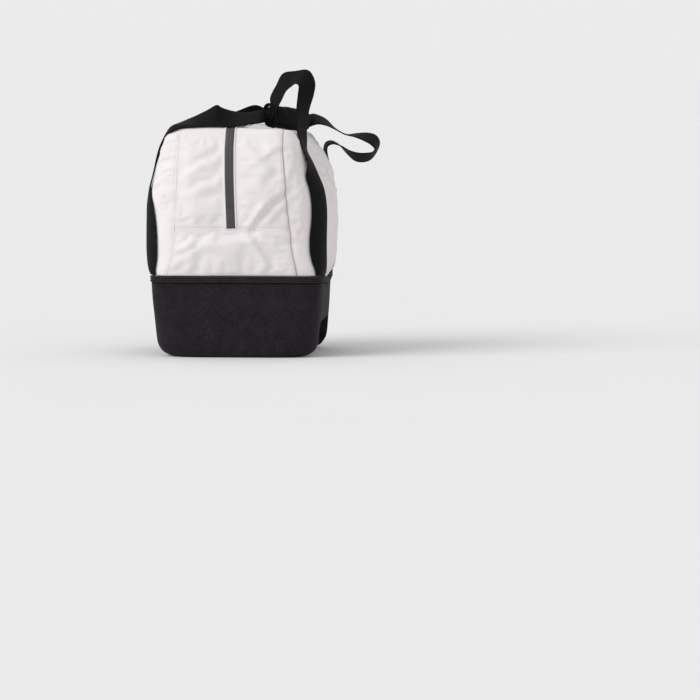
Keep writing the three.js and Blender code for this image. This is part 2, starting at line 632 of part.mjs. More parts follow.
// Rows inside the wrap, upright and drawn narrower, beside its middle line.
const gripAside = new THREE.Vector3(gripRun.y, -gripRun.x, 0).normalize();
const gripUp = gripAside.clone().cross(gripRun).normalize();
const webInGrip = GRIP_HEIGHT - 2 * GRIP_WALL - GRIP_PLAY;
const webAside = GRIP_WEB_APART / 2;
const gripRow = (share, aside) => {
  const middle = gripMouth.clone().lerp(gripTail, share).addScaledVector(gripAside, aside);
  const low = middle.clone().addScaledVector(gripUp, -webInGrip / 2);
  const high = middle.clone().addScaledVector(gripUp, webInGrip / 2);
  return rowBetween(low, high);
};

const webbing = (rows, samples) => {
  const tracks = [];
  for (let i = 0; i <= ACROSS; i += 1) {
    tracks.push(new THREE.CatmullRomCurve3(rows.map((row) => row[i]), false, "centripetal"));
  }
  const grid = [];
  for (let s = 0; s <= samples; s += 1) grid.push(tracks.map((track) => track.getPoint(s / samples)));
  const faces = grid.map((row, s) =>
    row.map((point, i) => {
      const before = grid[Math.max(s - 1, 0)][i];
      const after = grid[Math.min(s + 1, samples)][i];
      const along = after.clone().sub(before);
      const across = row[Math.min(i + 1, ACROSS)].clone().sub(row[Math.max(i - 1, 0)]);
      return along.cross(across).normalize();
    }),
  );
  const rings = grid.map((row, s) => {
    const front = row.map((point, i) => point.clone().addScaledVector(faces[s][i], WEB_THICK / 2));
    const back = row.map((point, i) => point.clone().addScaledVector(faces[s][i], -WEB_THICK / 2));
    return [...front, ...back.reverse()];
  });
  const solid = toSolid(loftRings(rings));
  return solid.volume() > 0 ? solid : toSolid(loftRings(rings.reverse()));
};

const legUp = (side, end, levels) => levels.map((level) => legRow(side, end, level));
const legDown = (side, end, levels) => legUp(side, end, levels).reverse();
const TALL_LEG = [...LEG_LEVELS, ...SHOULDER_LEVELS];
const flip = (rows) => rows.map((row) => [...row].reverse());

const frontRows = [
  ...legUp(1, -1, LEG_LEVELS),
  ...FRONT_NEAR_RUN.map(freeRow),
  gripRow(-0.03, webAside),
  gripRow(0.2, webAside),
  gripRow(0.8, webAside),
  gripRow(1.03, webAside),
  ...FRONT_FAR_RUN.map(freeRow),
  ...legDown(1, 1, LEG_LEVELS),
];
const rearRows = [
  ...legUp(-1, -1, TALL_LEG),
  ...REAR_NEAR_RUN.map(freeRow),
  gripRow(-0.03, -webAside),
  gripRow(0.2, -webAside),
  gripRow(0.8, -webAside),
  gripRow(1.03, -webAside),
  ...flip(REAR_FAR_RUN.map(freeRow)),
  ...flip(legDown(-1, 1, TALL_LEG)),
];
addMesh("front_handle", toGeometry(webbing(frontRows, 84)), "web");
addMesh("rear_handle", toGeometry(webbing(rearRows, 64)), "web");

// Padded wrap: a soft oval sleeve with open ends, fuller in the middle.

const sleeveRing = (share, shrink) => {
  const swell = 1 + 0.08 * Math.sin(Math.PI * share) - 0.06 * Math.abs(Math.cos(3 * Math.PI * share));
  const middle = gripMouth.clone().lerp(gripTail, share);
  const ring = [];
  for (let i = 0; i < 20; i += 1) {
    const angle = (i / 20) * Math.PI * 2;
    const aside = (GRIP_BREADTH / 2) * (shrink ? 1 : swell) - shrink;
    const up = (GRIP_HEIGHT / 2) * (shrink ? 1 : swell) - shrink;
    const ray = rayLength(angle, aside, up, 2.6);
    ring.push(
      middle
        .clone()
        .addScaledVector(gripAside, ray * Math.cos(angle))
        .addScaledVector(gripUp, ray * Math.sin(angle)),
    );
  }
  return ring;
};
const sleeveShares = [0, 0.12, 0.25, 0.38, 0.5, 0.62, 0.75, 0.88, 1];
const sleeveOuter = sleeveShares.map((share) => sleeveRing(share, 0));
const sleeveInner = [1, 0.5, 0].map((share) => sleeveRing(share, GRIP_WALL));
const sleeve = toSolid(loftHoop([...sleeveOuter, ...sleeveInner]));
const sleeveSolid =
  sleeve.volume() > 0 ? sleeve : toSolid(loftHoop([...sleeveOuter, ...sleeveInner].reverse()));
addMesh("handle_grip", toGeometry(sleeveSolid), "web");

export default group;
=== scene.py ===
# Looks of a bicycle trunk bag: soft zipped body, stiff tub with a tunnel, ribbed rim band, webbing
# handles and a padded wrap, on a pale studio floor. Sizes are millimetres until a mesh is made, and
# metres in every object.

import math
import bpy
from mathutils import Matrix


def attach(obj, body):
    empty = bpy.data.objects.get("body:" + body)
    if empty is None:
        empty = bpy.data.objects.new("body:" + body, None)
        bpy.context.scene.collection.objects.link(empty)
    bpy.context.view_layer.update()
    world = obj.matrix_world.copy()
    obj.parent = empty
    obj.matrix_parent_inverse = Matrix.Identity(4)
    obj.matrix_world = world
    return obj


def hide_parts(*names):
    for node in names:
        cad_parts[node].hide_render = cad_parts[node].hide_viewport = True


bl_info = {
    "name": "Bicycle trunk bag",
    "version": (1, 0, 0),
    "blender": (4, 5, 0),
    "location": "View3D > Sidebar > Trunk bag",
    "description": "Builds the cloth, webbing, zip and studio of a bicycle trunk bag",
    "category": "Object",
}

import bmesh
import bpy
from mathutils import Vector, noise

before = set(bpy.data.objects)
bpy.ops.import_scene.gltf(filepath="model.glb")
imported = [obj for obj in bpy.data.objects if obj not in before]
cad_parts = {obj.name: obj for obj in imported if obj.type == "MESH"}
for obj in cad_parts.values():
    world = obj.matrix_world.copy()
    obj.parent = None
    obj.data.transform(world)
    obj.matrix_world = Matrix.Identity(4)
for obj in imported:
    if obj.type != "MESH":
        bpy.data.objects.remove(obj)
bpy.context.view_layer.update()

MM = 0.001

# Sizes shared with the solids

TUB_HEIGHT = 118.0
TUNNEL_WIDTH = 160.0
TUNNEL_HEIGHT = 54.0
TUNNEL_ROUND = 9.0
BAND_HEIGHT = 11.0
BODY_HEIGHT = 236.5
HALF_WIDTH = 147.0
HALF_DEPTH = 129.0
TUB_HALF_WIDTH = 137.0
TUB_HALF_DEPTH = 125.0
DOME_RISE = 2.0
HANDLE_RISE = 84.0
HANDLE_LIFT = 5.5
RIM_SQUARE = 9.0
WEB_WIDTH = 38.0
GAP = 0.35
FLOOR = -TUNNEL_HEIGHT
BAND_FOOT = FLOOR + TUB_HEIGHT + GAP
BAND_TOP = BAND_FOOT + BAND_HEIGHT - GAP
BODY_FOOT = BAND_TOP + GAP
CREST = FLOOR + TUB_HEIGHT + BAND_HEIGHT + BODY_HEIGHT
ZIP_FOOT = 0.3167
LEG_ACROSS = 0.6
LEG_LEAN = 0.25
LEG_FOOT = 0.14

# Tub from foot to rim: level, half width, half depth (shares) and squareness of the plan.
TUB_ROWS = (
    (0.0, 0.79, 0.925, 5.0),
    (0.02, 0.845, 0.945, 5.0),
    (0.06, 0.895, 0.96, 5.5),
    (0.12, 0.93, 0.97, 6.0),
    (0.2, 0.95, 0.974, 7.0),
    (0.45, 0.966, 0.981, 8.0),
    (0.75, 0.986, 0.992, 9.0),
    (1.0, 1.0, 1.0, 9.0),
)

# Body from rim to crown: level, half width, half depth (shares), squareness, turn in degrees.
BODY_ROWS = (
    (0.0, 0.934, 0.969, 7.5, 0.0),
    (0.08, 0.974, 0.984, 4.9, -1.4),
    (0.2, 0.998, 0.992, 3.7, -2.6),
    (0.38, 1.0, 1.0, 3.3, -2.8),
    (0.525, 0.986, 0.99, 3.3, -3.0),
    (0.671, 0.939, 0.961, 3.4, -3.4),
    (0.8375, 0.837, 0.891, 4.5, -4.6),
    (0.94, 0.738, 0.825, 6.2, -6.0),
    (0.985, 0.675, 0.78, 7.4, -6.7),
    (1.0, 0.615, 0.725, 7.4, -7.0),
)

# Long seams of the near side: level, rear seam, front seam (shares of the half width).
SEAM_ROWS = (
    (-0.05, -0.75, 0.668),
    (0.0, -0.746, 0.665),
    (0.12, -0.7, 0.622),
    (0.3167, -0.666, 0.584),
    (0.64, -0.65, 0.526),
    (0.9, -0.65, 0.49),
    (1.0, -0.65, 0.475),
    (1.3, -0.65, 0.475),
)

# Dents of the two ends: x, y, level, reach in y, reach in level, push.
SIDE_DENTS = (
    (0.8, -0.37, 0.8, 0.22, 0.1, -0.1),
    (0.8, -0.8, 0.62, 0.2, 0.12, -0.02),
    (-0.9, -0.45, 0.72, 0.22, 0.1, -0.02),
)

# Folds of the near face: start x and level, end x and level, reach in mm, height in mm, and how
# much of a valley lies on the fold's lower side.
FOLDS = (
    (0.527, 0.59, 0.293, 0.46, 5.0, 4.2, 1.1),
    (0.293, 0.46, 0.15, 0.335, 4.2, 3.4, 1.1),
    (0.56, 0.68, 0.34, 0.545, 6.0, 2.4, 0.9),
    (0.54, 0.5, 0.4, 0.4, 5.0, 2.0, 0.9),
    (-0.49, 0.68, -0.2, 0.77, 6.0, 2.4, 1.0),
    (-0.5, 0.525, -0.1, 0.64, 7.0, 2.6, 1.0),
    (-0.62, 0.42, -0.25, 0.47, 8.0, 1.9, 0.9),
    (-0.64, 0.2, 0.165, 0.235, 7.0, 2.6, 1.0),
    (0.165, 0.235, 0.32, 0.08, 5.0, 2.4, 0.9),
    (-0.72, 0.07, -0.45, 0.14, 5.0, 2.2, 1.0),
    (-0.7, 0.13, -0.5, 0.2, 4.5, 1.8, 1.0),
    (0.62, 0.08, 0.4, 0.2, 5.0, 2.2, 1.0),
    (0.6, 0.26, 0.42, 0.3, 5.0, 1.6, 1.0),
    (0.12, 0.88, 0.34, 0.7, 8.0, 1.8, 0.9),
    (0.48, 0.88, 0.26, 0.8, 6.0, 2.0, 0.9),
)

# Free runs of the webbing. Each row: near edge x, y, up, far edge x, y, up, as shares of the half
# width, the half depth and the handle's rise above the crest.
FRONT_NEAR_RUN = (
    (0.77, -0.78, -0.744, 0.8, -0.48, -0.75),
    (0.723, -0.75, -0.536, 0.738, -0.45, -0.54),
    (0.677, -0.7, -0.345, 0.735, -0.42, -0.355),
    (0.64, -0.65, -0.158, 0.732, -0.38, -0.169),
    (0.635, -0.61, 0.06, 0.738, -0.35, 0.02),
    (0.633, -0.58, 0.28, 0.762, -0.335, 0.26),
    (0.645, -0.56, 0.52, 0.81, -0.34, 0.53),
    (0.65, -0.54, 0.68, 0.82, -0.335, 0.76),
    (0.61, -0.49, 0.71, 0.745, -0.28, 0.97),
    (0.56, -0.45, 0.65, 0.6, -0.23, 0.955),
    (0.51, -0.43, 0.57, 0.46, -0.2, 0.91),
    (0.475, -0.45, 0.44, 0.39, -0.22, 0.69),
    (0.43, -0.47, 0.28, 0.325, -0.26, 0.44),
)
FRONT_FAR_RUN = (
    (0.79, 0.33, -0.08, 0.75, 0.58, 0.12),
    (0.888, 0.388, -0.1, 0.87, 0.667, 0.02),
    (0.992, 0.419, -0.177, 0.975, 0.698, -0.169),
    (1.093, 0.434, -0.269, 1.099, 0.713, -0.286),
    (1.2, 0.442, -0.323, 1.217, 0.713, -0.26),
    (1.305, 0.45, -0.398, 1.331, 0.713, -0.25),
    (1.389, 0.45, -0.487, 1.42, 0.717, -0.29),
    (1.422, 0.45, -0.56, 1.466, 0.721, -0.42),
    (1.4, 0.45, -0.61, 1.428, 0.721, -0.633),
    (1.345, 0.45, -0.625, 1.347, 0.717, -0.79),
    (1.253, 0.45, -0.627, 1.21, 0.713, -0.81),
    (1.148, 0.442, -0.582, 1.1, 0.705, -0.652),
    (1.044, 0.426, -0.486, 1.027, 0.698, -0.498),
    (0.955, 0.42, -0.46, 0.925, 0.69, -0.4),
    (0.9, 0.44, -0.53, 0.855, 0.71, -0.46),
)
REAR_NEAR_RUN = (
    (-0.69, -0.63, -0.2, -0.71, -0.38, -0.09),
    (-0.6, -0.68, -0.12, -0.61, -0.42, 0.0),
    (-0.46, -0.71, -0.1, -0.465, -0.47, 0.11),
    (-0.335, -0.74, -0.09, -0.33, -0.53, 0.225),
    (-0.225, -0.755, -0.08, -0.225, -0.57, 0.322),
    (-0.17, -0.76, -0.08, -0.18, -0.55, 0.275),
    (-0.05, -0.76, -0.07, -0.08, -0.47, 0.21),
    (0.12, -0.69, -0.05, 0.07, -0.38, 0.17),
    (0.23, -0.6, -0.03, 0.2, -0.32, 0.2),
)
# Heights at which the near edge of that run lies on the top edge of the near panel.
REAR_NEAR_EDGE = (0.95, 0.972, 0.98, 0.984, 0.986, 0.987, 0.988)
REAR_FAR_RUN = (
    (0.66, 0.42, 0.1, 0.66, 0.68, -0.02),
    (0.56, 0.46, 0.1, 0.56, 0.73, -0.02),
    (0.37, 0.5, 0.12, 0.37, 0.76, -0.02),
    (0.23, 0.52, 0.2, 0.22, 0.77, 0.0),
    (0.1, 0.54, 0.29, 0.09, 0.76, 0.02),
    (-0.13, 0.5, 0.15, -0.13, 0.76, 0.0),
    (-0.38, 0.48, 0.08, -0.38, 0.75, -0.01),
    (-0.55, 0.44, 0.04, -0.56, 0.7, -0.06),
    (-0.68, 0.38, -0.07, -0.69, 0.66, -0.18),
)
GRIP_MOUTH = Vector((0.345 * HALF_WIDTH, -0.3 * HALF_DEPTH, CREST + 0.17 * HANDLE_RISE))
GRIP_TAIL = Vector((0.66 * HALF_WIDTH, 0.33 * HALF_DEPTH, CREST + 0.05 * HANDLE_RISE))
GRIP_RUN = (GRIP_TAIL - GRIP_MOUTH).normalized()
GRIP_BESIDE = Vector((GRIP_RUN.y, -GRIP_RUN.x, 0)).normalized()
GRIP_UP = GRIP_BESIDE.cross(GRIP_RUN).normalized()
GRIP_DENT = (0.068, 0.27)
LEG_LEVELS = (0.002, 0.025, 0.055, 0.1, 0.17, 0.26, 0.36, 0.46, 0.57, 0.66)
SHOULDER_LEVELS = (0.74, 0.82, 0.885)
# The wrap's half width and half height, and half the height of the webbing inside it.
GRIP_HALF_WIDTH = 12.4
GRIP_HALF_HEIGHT = 16.4
GRIP_WEB_HALF = 11.0
# Heights over the skin: middle of a sewn leg, edge that lies on the crest, free run at least.
WEB_LIFT = 1.55
EDGE_LIFT = 1.9
WEB_CLEARANCE = 2.1
# Heights over the skin of piping, stitches and zip, and the half width of a zip's cloth lip.
PIPING_LIFT = 0.35
STITCH_LIFT = 0.2
ZIP_LIFT = 0.9
LIP_RADIUS = 1.15
# Stitches: half sizes along, across and over a seam, the pause between two, distance from a seam.
STITCH_HALVES = (1.45, 0.36, 0.3)
STITCH_PAUSE = 1.3
STITCH_AWAY = 3.4
# Grid of the skin for settling, its frames, and how far cloth may move, in mm (less on the ends).
COARSE_COLUMNS = 132
COARSE_ROWS = 78
SETTLE_FRAMES = 24
MOST_MOVE = 6.0
MOST_MOVE_END = 2.5
# Studio, in metres: camera, what it looks at, its focal length in mm, and where the sun stands.
CAMERA_PLACE = Vector((0.566, -6.0, 0.447))
CAMERA_AIM = Vector((0.173, 0.0, -0.0506))
CAMERA_LENS = 193.0
KEY_RUN = Vector((1.2, 0.75, -1.0))
KEY_SPREAD = math.radians(40)
FLOOR_SIZE = 45.0


# Small numeric helpers


def bell(value):
    """1 at zero, falling away smoothly to both sides."""
    return math.exp(-0.5 * value * value)


def smooth(low, high, value):
    """0 up to low, 1 from high on, and a smooth rise between."""
    s = min(max((value - low) / (high - low), 0.0), 1.0)
    return s * s * (3 - 2 * s)


def column_at(rows, column, level):
    """Smooth value of one column of a table at a level between its rows."""
    last = len(rows) - 1
    i = 0
    while i < last - 1 and level > rows[i + 1][0]:
        i += 1
    a, b, c, d = rows[max(i - 1, 0)], rows[i], rows[i + 1], rows[min(i + 2, last)]
    span = c[0] - b[0]
    s = min(max((level - b[0]) / span, 0.0), 1.0)
    step = (c[column] - b[column]) / span
    slope_b = step if i == 0 else (c[column] - a[column]) / (c[0] - a[0])
    slope_c = step if i == last - 1 else (d[column] - b[column]) / (d[0] - b[0])
    s2, s3 = s * s, s * s * s
    return (
        (2 * s3 - 3 * s2 + 1) * b[column]
        + (s3 - 2 * s2 + s) * span * slope_b
        + (3 * s2 - 2 * s3) * c[column]
        + (s3 - s2) * span * slope_c
    )


def plan_point(angle, wide, deep, square):
    """A point of a rounded rectangle, given by half width, half depth and squareness."""
    cosine, sine = math.cos(angle), math.sin(angle)
    ray = ((abs(cosine) / wide) ** square + (abs(sine) / deep) ** square) ** (-1.0 / square)
    return ray * cosine, ray * sine


def spaced_angle(u, share):
    """An angle at a share of a turn, with more steps towards the four corners."""
    angle = u * 2 * math.pi
    return angle + share * math.sin(4 * angle)


def sag_at(y):
    """How far the rim hangs down in the middle of the two ends."""
    return 8.0 * bell(y / 37.5)


def line_distance(px, py, ax, ay, bx, by):
    """Distance to a line from a to b, and the signed distance from it when made longer."""
    dx, dy = bx - ax, by - ay
    s = min(max(((px - ax) * dx + (py - ay) * dy) / (dx * dx + dy * dy), 0.0), 1.0)
    away = math.hypot(px - ax - s * dx, py - ay - s * dy)
    signed = ((px - ax) * dy - (py - ay) * dx) / math.hypot(dx, dy)
    return away, signed


def seam_at(which, level, y):
    """Place in x of one of the two long seams, which swap sides towards the far face."""
    other = 2 if which == 1 else 1
    near = column_at(SEAM_ROWS, which, level) * HALF_WIDTH
    far = -column_at(SEAM_ROWS, other, level) * HALF_WIDTH
    return (near + far) / 2 + ((far - near) / 2) * (y / HALF_DEPTH)


def rear_seam(level, y):
    return seam_at(1, level, y)


def front_seam(level, y):
    return seam_at(2, level, y)


def zip_line(level, y):
    """Place in x of the zip's middle."""
    return (rear_seam(level, y) + front_seam(level, y)) / 2


def leg_across(side, level):
    """Distance of a sewn leg from the middle, as a share of the half depth."""
    lean = LEG_LEAN * smooth(0.4, 0.68, level) if side < 0 else 0.0
    return LEG_ACROSS - lean + LEG_FOOT * (1 - smooth(-0.1, 0.6, level))


# Skin of the soft body

ROW_CACHE = {}


def body_row(level):
    """Half width, half depth, squareness and turn of the body at a level."""
    key = round(level, 5)
    if key not in ROW_CACHE:
        ROW_CACHE[key] = (
            column_at(BODY_ROWS, 1, level) * HALF_WIDTH,
            column_at(BODY_ROWS, 2, level) * HALF_DEPTH,
            column_at(BODY_ROWS, 3, level),
            math.radians(column_at(BODY_ROWS, 4, level)),
        )
    return ROW_CACHE[key]


def near_folds(x, level, ruffle):
    """Height of the folds at a place of the near face."""
    high = level * BODY_HEIGHT
    total = 0.0
    for ax, al, bx, bl, reach, rise, valley in FOLDS:
        away, signed = line_distance(
            x, high, ax * HALF_WIDTH, al * BODY_HEIGHT, bx * HALF_WIDTH, bl * BODY_HEIGHT
        )
        if away > reach * 4.5:
            continue
        crest = bell(away / reach)
        trough = bell(math.hypot(away - abs(signed), signed + reach * 1.9) / reach)
        total += rise * (1 + 0.35 * ruffle) * (crest - 0.6 * valley * trough)
    return total


def skin_point(angle, station, fine=True):
    """A point of the skin in mm. Station 0 is the rim, 1 the crown's edge and 2 its middle."""
    level = min(station, 1.0)
    crown = max(2 - max(station, 1.0), 1e-6)
    wide, deep, square, turn = body_row(level)
    wide, deep = wide * crown, deep * crown
    square -= 0.8 * (1 - crown)
    x, y = plan_point(angle, wide, deep, square)
    side = smooth(0.5, 0.9, abs(x) / max(wide, 1))
    hang = sag_at(y) * side * (1 - smooth(0, 0.3, level))
    rise = BODY_FOOT + level * (CREST - BODY_FOOT) + DOME_RISE * (1 - crown * crown)
    ct, st = math.cos(turn), math.sin(turn)
    point = Vector((x * ct - y * st, x * st + y * ct, rise - hang))
    facing = smooth(0.5, 0.95, abs(y) / max(deep, 1)) * smooth(0.3, 1, crown)
    sign = 1 if y >= 0 else -1
    dented = side
    if fine:
        out = Vector((point.x / max(wide, 1), point.y / max(deep, 1), 0))
        out.z = smooth(0.88, 1.1, station) * 1.2
        out.normalize()
        pos = point.copy()
        push = noise.noise(pos * 0.013) * 1.4 + noise.noise(pos * 0.03 + Vector((7, 3, 1))) * 0.5
        ruffle = noise.noise(pos * 0.04 + Vector((1, 9, 4)))
        if facing > 0.01:
            push += near_folds(-sign * point.x, level, ruffle) * facing
        # Puckers that run out from the long seams and from the rim.
        rear = abs(point.x - rear_seam(level, point.y))
        front = abs(point.x - front_seam(level, point.y))
        near_seam = min(rear, front)
        along = point.z if station < 0.95 else point.y
        pucker = noise.noise(Vector((along * 0.075, near_seam * 0.012, 5.0 * sign)))
        push += 1.7 * pucker * bell(near_seam / 15) * smooth(1.9, 1.5, station)
        push *= 1 - 0.8 * smooth(0.9, 0.96, station)
        if level > ZIP_FOOT - 0.03:
            push *= 1 - 0.9 * smooth(20, 10, abs(point.x - zip_line(level, point.y)))
        push -= (0.6 if rear < front else 1.2) * bell(near_seam / 2.4)
        hem = level * BODY_HEIGHT
        round_rim = math.atan2(point.y, point.x) * 120
        ruffle = noise.noise(Vector((round_rim * 0.075, hem * 0.02, 2.0)))
        push += 1.4 * ruffle * bell((hem - 8) / 16)
        push -= 1.6 * bell(hem / 4)
        strip = rear_seam(level, point.y) < point.x < front_seam(level, point.y)
        if strip and station < 0.9:
            cross = abs(hem - ZIP_FOOT * BODY_HEIGHT)
            push -= 1.1 * bell(cross / 2.2)
            ruffle = noise.noise(Vector((point.x * 0.06, cross * 0.015, 8.0)))
            push += 0.7 * ruffle * bell(cross / 14)
        # The gussets bulge softly between the two straps and pinch in under them.
        strap = abs(abs(y) - leg_across(1 if x > 0 else -1, level) * HALF_DEPTH)
        wing = smooth(0.3, 0.6, abs(x) / max(wide, 1)) * smooth(0.98, 0.85, level)
        push *= 1 - wing * smooth(36, 22, strap)
        push -= 0.8 * wing * smooth(26, 18, strap)
        if side > 0.01:
            side *= smooth(22, 38, strap)
            swell = noise.noise(Vector((point.y * 0.035, point.z * 0.018, point.x * 0.01)))
            push += side * 1.6 * swell
            crease = noise.noise(Vector((point.y * 0.02 + point.z * 0.03, point.z * 0.012, 11.0)))
            push += side * 2.2 * bell((crease - 0.05) / 0.05) * smooth(0.2, 0.5, level)
        point += out * push
    for fx, fy, fl, ry, rz, amount in SIDE_DENTS:
        if fx * point.x > 0:
            away = math.hypot((point.y / HALF_DEPTH - fy) / ry, (level - fl) / rz)
            point.x += amount * HALF_WIDTH * bell(away) * (1 if fx > 0 else -1) * dented
    from_grip = line_distance(
        point.x, point.y, GRIP_MOUTH.x, GRIP_MOUTH.y, GRIP_TAIL.x, GRIP_TAIL.y
    )[0]
    depth, reach = GRIP_DENT
    dent = bell(from_grip / (reach * HALF_WIDTH)) * smooth(0.7, 0.98, level)
    point.z -= depth * BODY_HEIGHT * dent
    return point


def skin_offset(angle, station, offset, fine=True):
    """The same point moved out along the skin's normal, with that normal."""
    point = skin_point(angle, station, fine)
    if station > 1.94:
        def beside(dx, dy):
            return skin_point(*place_on_top(point.x + dx, point.y + dy), fine)

        normal = (beside(4, 0) - beside(-4, 0)).cross(beside(0, 4) - beside(0, -4)).normalized()
        return point + normal * offset, normal
    step = 0.006
    low = max(station - step, 0.0)
    along = skin_point(angle, station + step, fine) - skin_point(angle, low, fine)
    across = skin_point(angle + step, station, fine) - skin_point(angle - step, station, fine)
    normal = across.cross(along).normalized()
    return point + normal * offset, normal


def skin_place(u, v):
    """Angle and station of a place of the skin's grid."""
    angle = spaced_angle(u, 0.03)
    station = v * 1.42 if v < 0.7 else 0.994 + (v - 0.7) / 0.3 * 1.006
    return angle, min(station, 2.0)


def held_weight(angle, station):
    """How firmly a place of the skin is held: 1 at seams, zip, rim and straps, 0 on loose cloth."""
    point = skin_point(angle, station, False)
    level = min(station, 1.0)
    rear = abs(point.x - rear_seam(level, point.y))
    front = abs(point.x - front_seam(level, point.y))
    strip = rear_seam(level, point.y) < point.x < front_seam(level, point.y)
    weight = 1 - smooth(5, 12, min(rear, front))
    weight = max(weight, 1 - smooth(3, 10, level * BODY_HEIGHT))
    weight = max(weight, smooth(0.89, 0.95, station))
    if level > ZIP_FOOT - 0.02:
        weight = max(weight, 1 - smooth(12, 20, abs(point.x - zip_line(level, point.y))))
    if strip and station < 1:
        weight = max(weight, 1 - smooth(4, 10, abs(level - ZIP_FOOT) * BODY_HEIGHT))
    if not strip and level < 0.9:
        strap = abs(abs(point.y) - leg_across(1 if point.x > 0 else -1, level) * HALF_DEPTH)
        weight = max(weight, 1 - smooth(24, 38, strap))
    return weight


def between_moves(moved, column, row):
    """Smooth value between the moves of four places of the coarse grid."""
    if not moved:
        return Vector((0, 0, 0))
    i, j = int(column), int(row)
    s, t = column - i, row - j
    s, t = s * s * (3 - 2 * s), t * t * (3 - 2 * t)
    total = Vector((0, 0, 0))
    for a, share_a in ((0, 1 - s), (1, s)):
        for b, share_b in ((0, 1 - t), (1, t)):
            key = ((i + a) % COARSE_COLUMNS, min(j + b, COARSE_ROWS))
            if share_a * share_b > 0 and key in moved:
                total += moved[key] * (share_a * share_b)
    return total


def place_on_top(x, y):
    """Angle and station of the skin over a place in plan."""
    low, high = 0.45, 1.999
    for _ in range(30):
        station = (low + high) / 2
        level = min(station, 1.0)
        crown = max(2 - max(station, 1.0), 0.001)
        wide, deep, square, turn = body_row(round(level, 3))
        square -= 0.8 * (1 - crown)
        lx = x * math.cos(turn) + y * math.sin(turn)
        ly = -x * math.sin(turn) + y * math.cos(turn)
        if abs(lx / (wide * crown)) ** square + abs(ly / (deep * crown)) ** square < 1:
            low = station
        else:
            high = station
    return math.atan2(ly, lx), station


def clear_of_skin(point, gap):
    """Push a place in or close to the top of the body out along the skin's normal."""
    angle, station = place_on_top(point.x, point.y)
    share = smooth(0.7, 0.9, (point.z - BODY_FOOT) / BODY_HEIGHT)
    if station < 0.47 or share == 0:
        return point
    skin, normal = skin_offset(angle, station, 0.0, False)
    depth = (skin.z - point.z) * normal.z + gap
    return point + normal * max(depth * share, 0.0)


def place_on_wall(line, level, side, shift=0.0):
    """Angle of the near (-1) or far (1) wall where it meets an upright sheet."""
    low, high = 0.12, math.pi - 0.12
    for _ in range(26):
        middle = (low + high) / 2
        point = skin_point(middle * side, level, False)
        if point.x > line(level, point.y) + shift:
            low = middle
        else:
            high = middle
    return middle * side


def path_over(line, shift, foot, spacing):
    """Angle and station along a sheet, from the near foot over the crown to the far foot."""
    top = 0.86
    count = int((top - foot) * BODY_HEIGHT / spacing)
    levels = [foot + (top - foot) * i / count for i in range(count + 1)]
    near = [(place_on_wall(line, level, -1, shift), level) for level in levels]
    far = [(place_on_wall(line, level, 1, shift), level) for level in levels[::-1]]
    start, end = skin_point(*near[-1], False), skin_point(*far[0], False)
    steps = int((end.y - start.y) / spacing)
    over = []
    for i in range(1, steps):
        y = start.y + (end.y - start.y) * i / steps
        x = start.x + (end.x - start.x) * i / steps
        over.append(place_on_top(x, y))
    return near + over + far


# Mesh helpers


def new_object(name, bm):
    """Link a new object made from a bmesh in metres."""
    mesh = bpy.data.meshes.new(name)
    bm.to_mesh(mesh)
    bm.free()
    obj = bpy.data.objects.new(name, mesh)
    bpy.context.scene.collection.objects.link(obj)
    return obj


def finish_object(name, bm, replaced, material):
    """Turn a bmesh in metres into a piece that rides on the one body."""
    bmesh.ops.recalc_face_normals(bm, faces=bm.faces)
    obj = new_object(name, bm)
    for polygon in obj.data.polygons:
        polygon.use_smooth = True
    obj.data.materials.append(material)
    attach(obj, "root")
    if replaced:
        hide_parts(*replaced)
    return obj


def grid_shares(vert):
    """Where a vertex of a new grid lies, from 0 to 1 each way."""
    return (vert.co.x + 1) / 2, (vert.co.y + 1) / 2


def grid_surface(columns, rows, place, close_round=False, measure=None):
    """A grid made by the grid operator and shaped by place(u, v), with u and v from 0 to 1."""
    bm = bmesh.new()
    bmesh.ops.create_grid(bm, x_segments=columns, y_segments=rows, size=1.0)
    uv = bm.loops.layers.uv.new("weave")
    for face in bm.faces:
        for loop in face.loops:
            shares = grid_shares(loop.vert)
            loop[uv].uv = measure(*shares) if measure else shares
    for vert in bm.verts:
        vert.co = place(*grid_shares(vert)) * MM
    if close_round:
        bmesh.ops.remove_doubles(bm, verts=bm.verts, dist=1e-6)
    return bm


def cap_holes(bm):
    """Close every open rim with triangles."""
    edges = [edge for edge in bm.edges if edge.is_boundary]
    if edges:
        made = bmesh.ops.holes_fill(bm, edges=edges, sides=0)["faces"]
        bmesh.ops.triangulate(bm, faces=made)


def wall(obj, thickness, offset=-1.0):
    """Give a surface a thickness in mm: inwards at -1, to both sides at 0."""
    modifier = obj.modifiers.new("wall", "SOLIDIFY")
    modifier.thickness = thickness * MM
    modifier.offset = offset
    modifier.use_even_offset = False


def round_off(obj):
    """Round the edges with one step of subdivision."""
    modifier = obj.modifiers.new("smooth", "SUBSURF")
    modifier.levels = modifier.render_levels = 1


def run_at(points, i):
    """Direction of a line of points at one of them."""
    return (points[min(i + 1, len(points) - 1)] - points[max(i - 1, 0)]).normalized()


def row_at(v, count):
    """Number of the point at a share of a line of points."""
    return min(int(v * (count - 1) + 1e-6), count - 1)


def tube_along(points, ups, radius, flat=1.0):
    """A round or oval cord of skin along a list of points in mm, closed at both ends."""
    count = len(points)

    def place(u, v):
        i = row_at(v, count)
        run = run_at(points, i)
        aside = run.cross(ups[i]).normalized()
        over = aside.cross(run).normalized()
        angle = u * 2 * math.pi
        height = radius * flat * math.sin(angle)
        return points[i] + aside * (radius * math.cos(angle)) + over * height

    bm = grid_surface(8, count - 1, place, True)
    cap_holes(bm)
    return bm


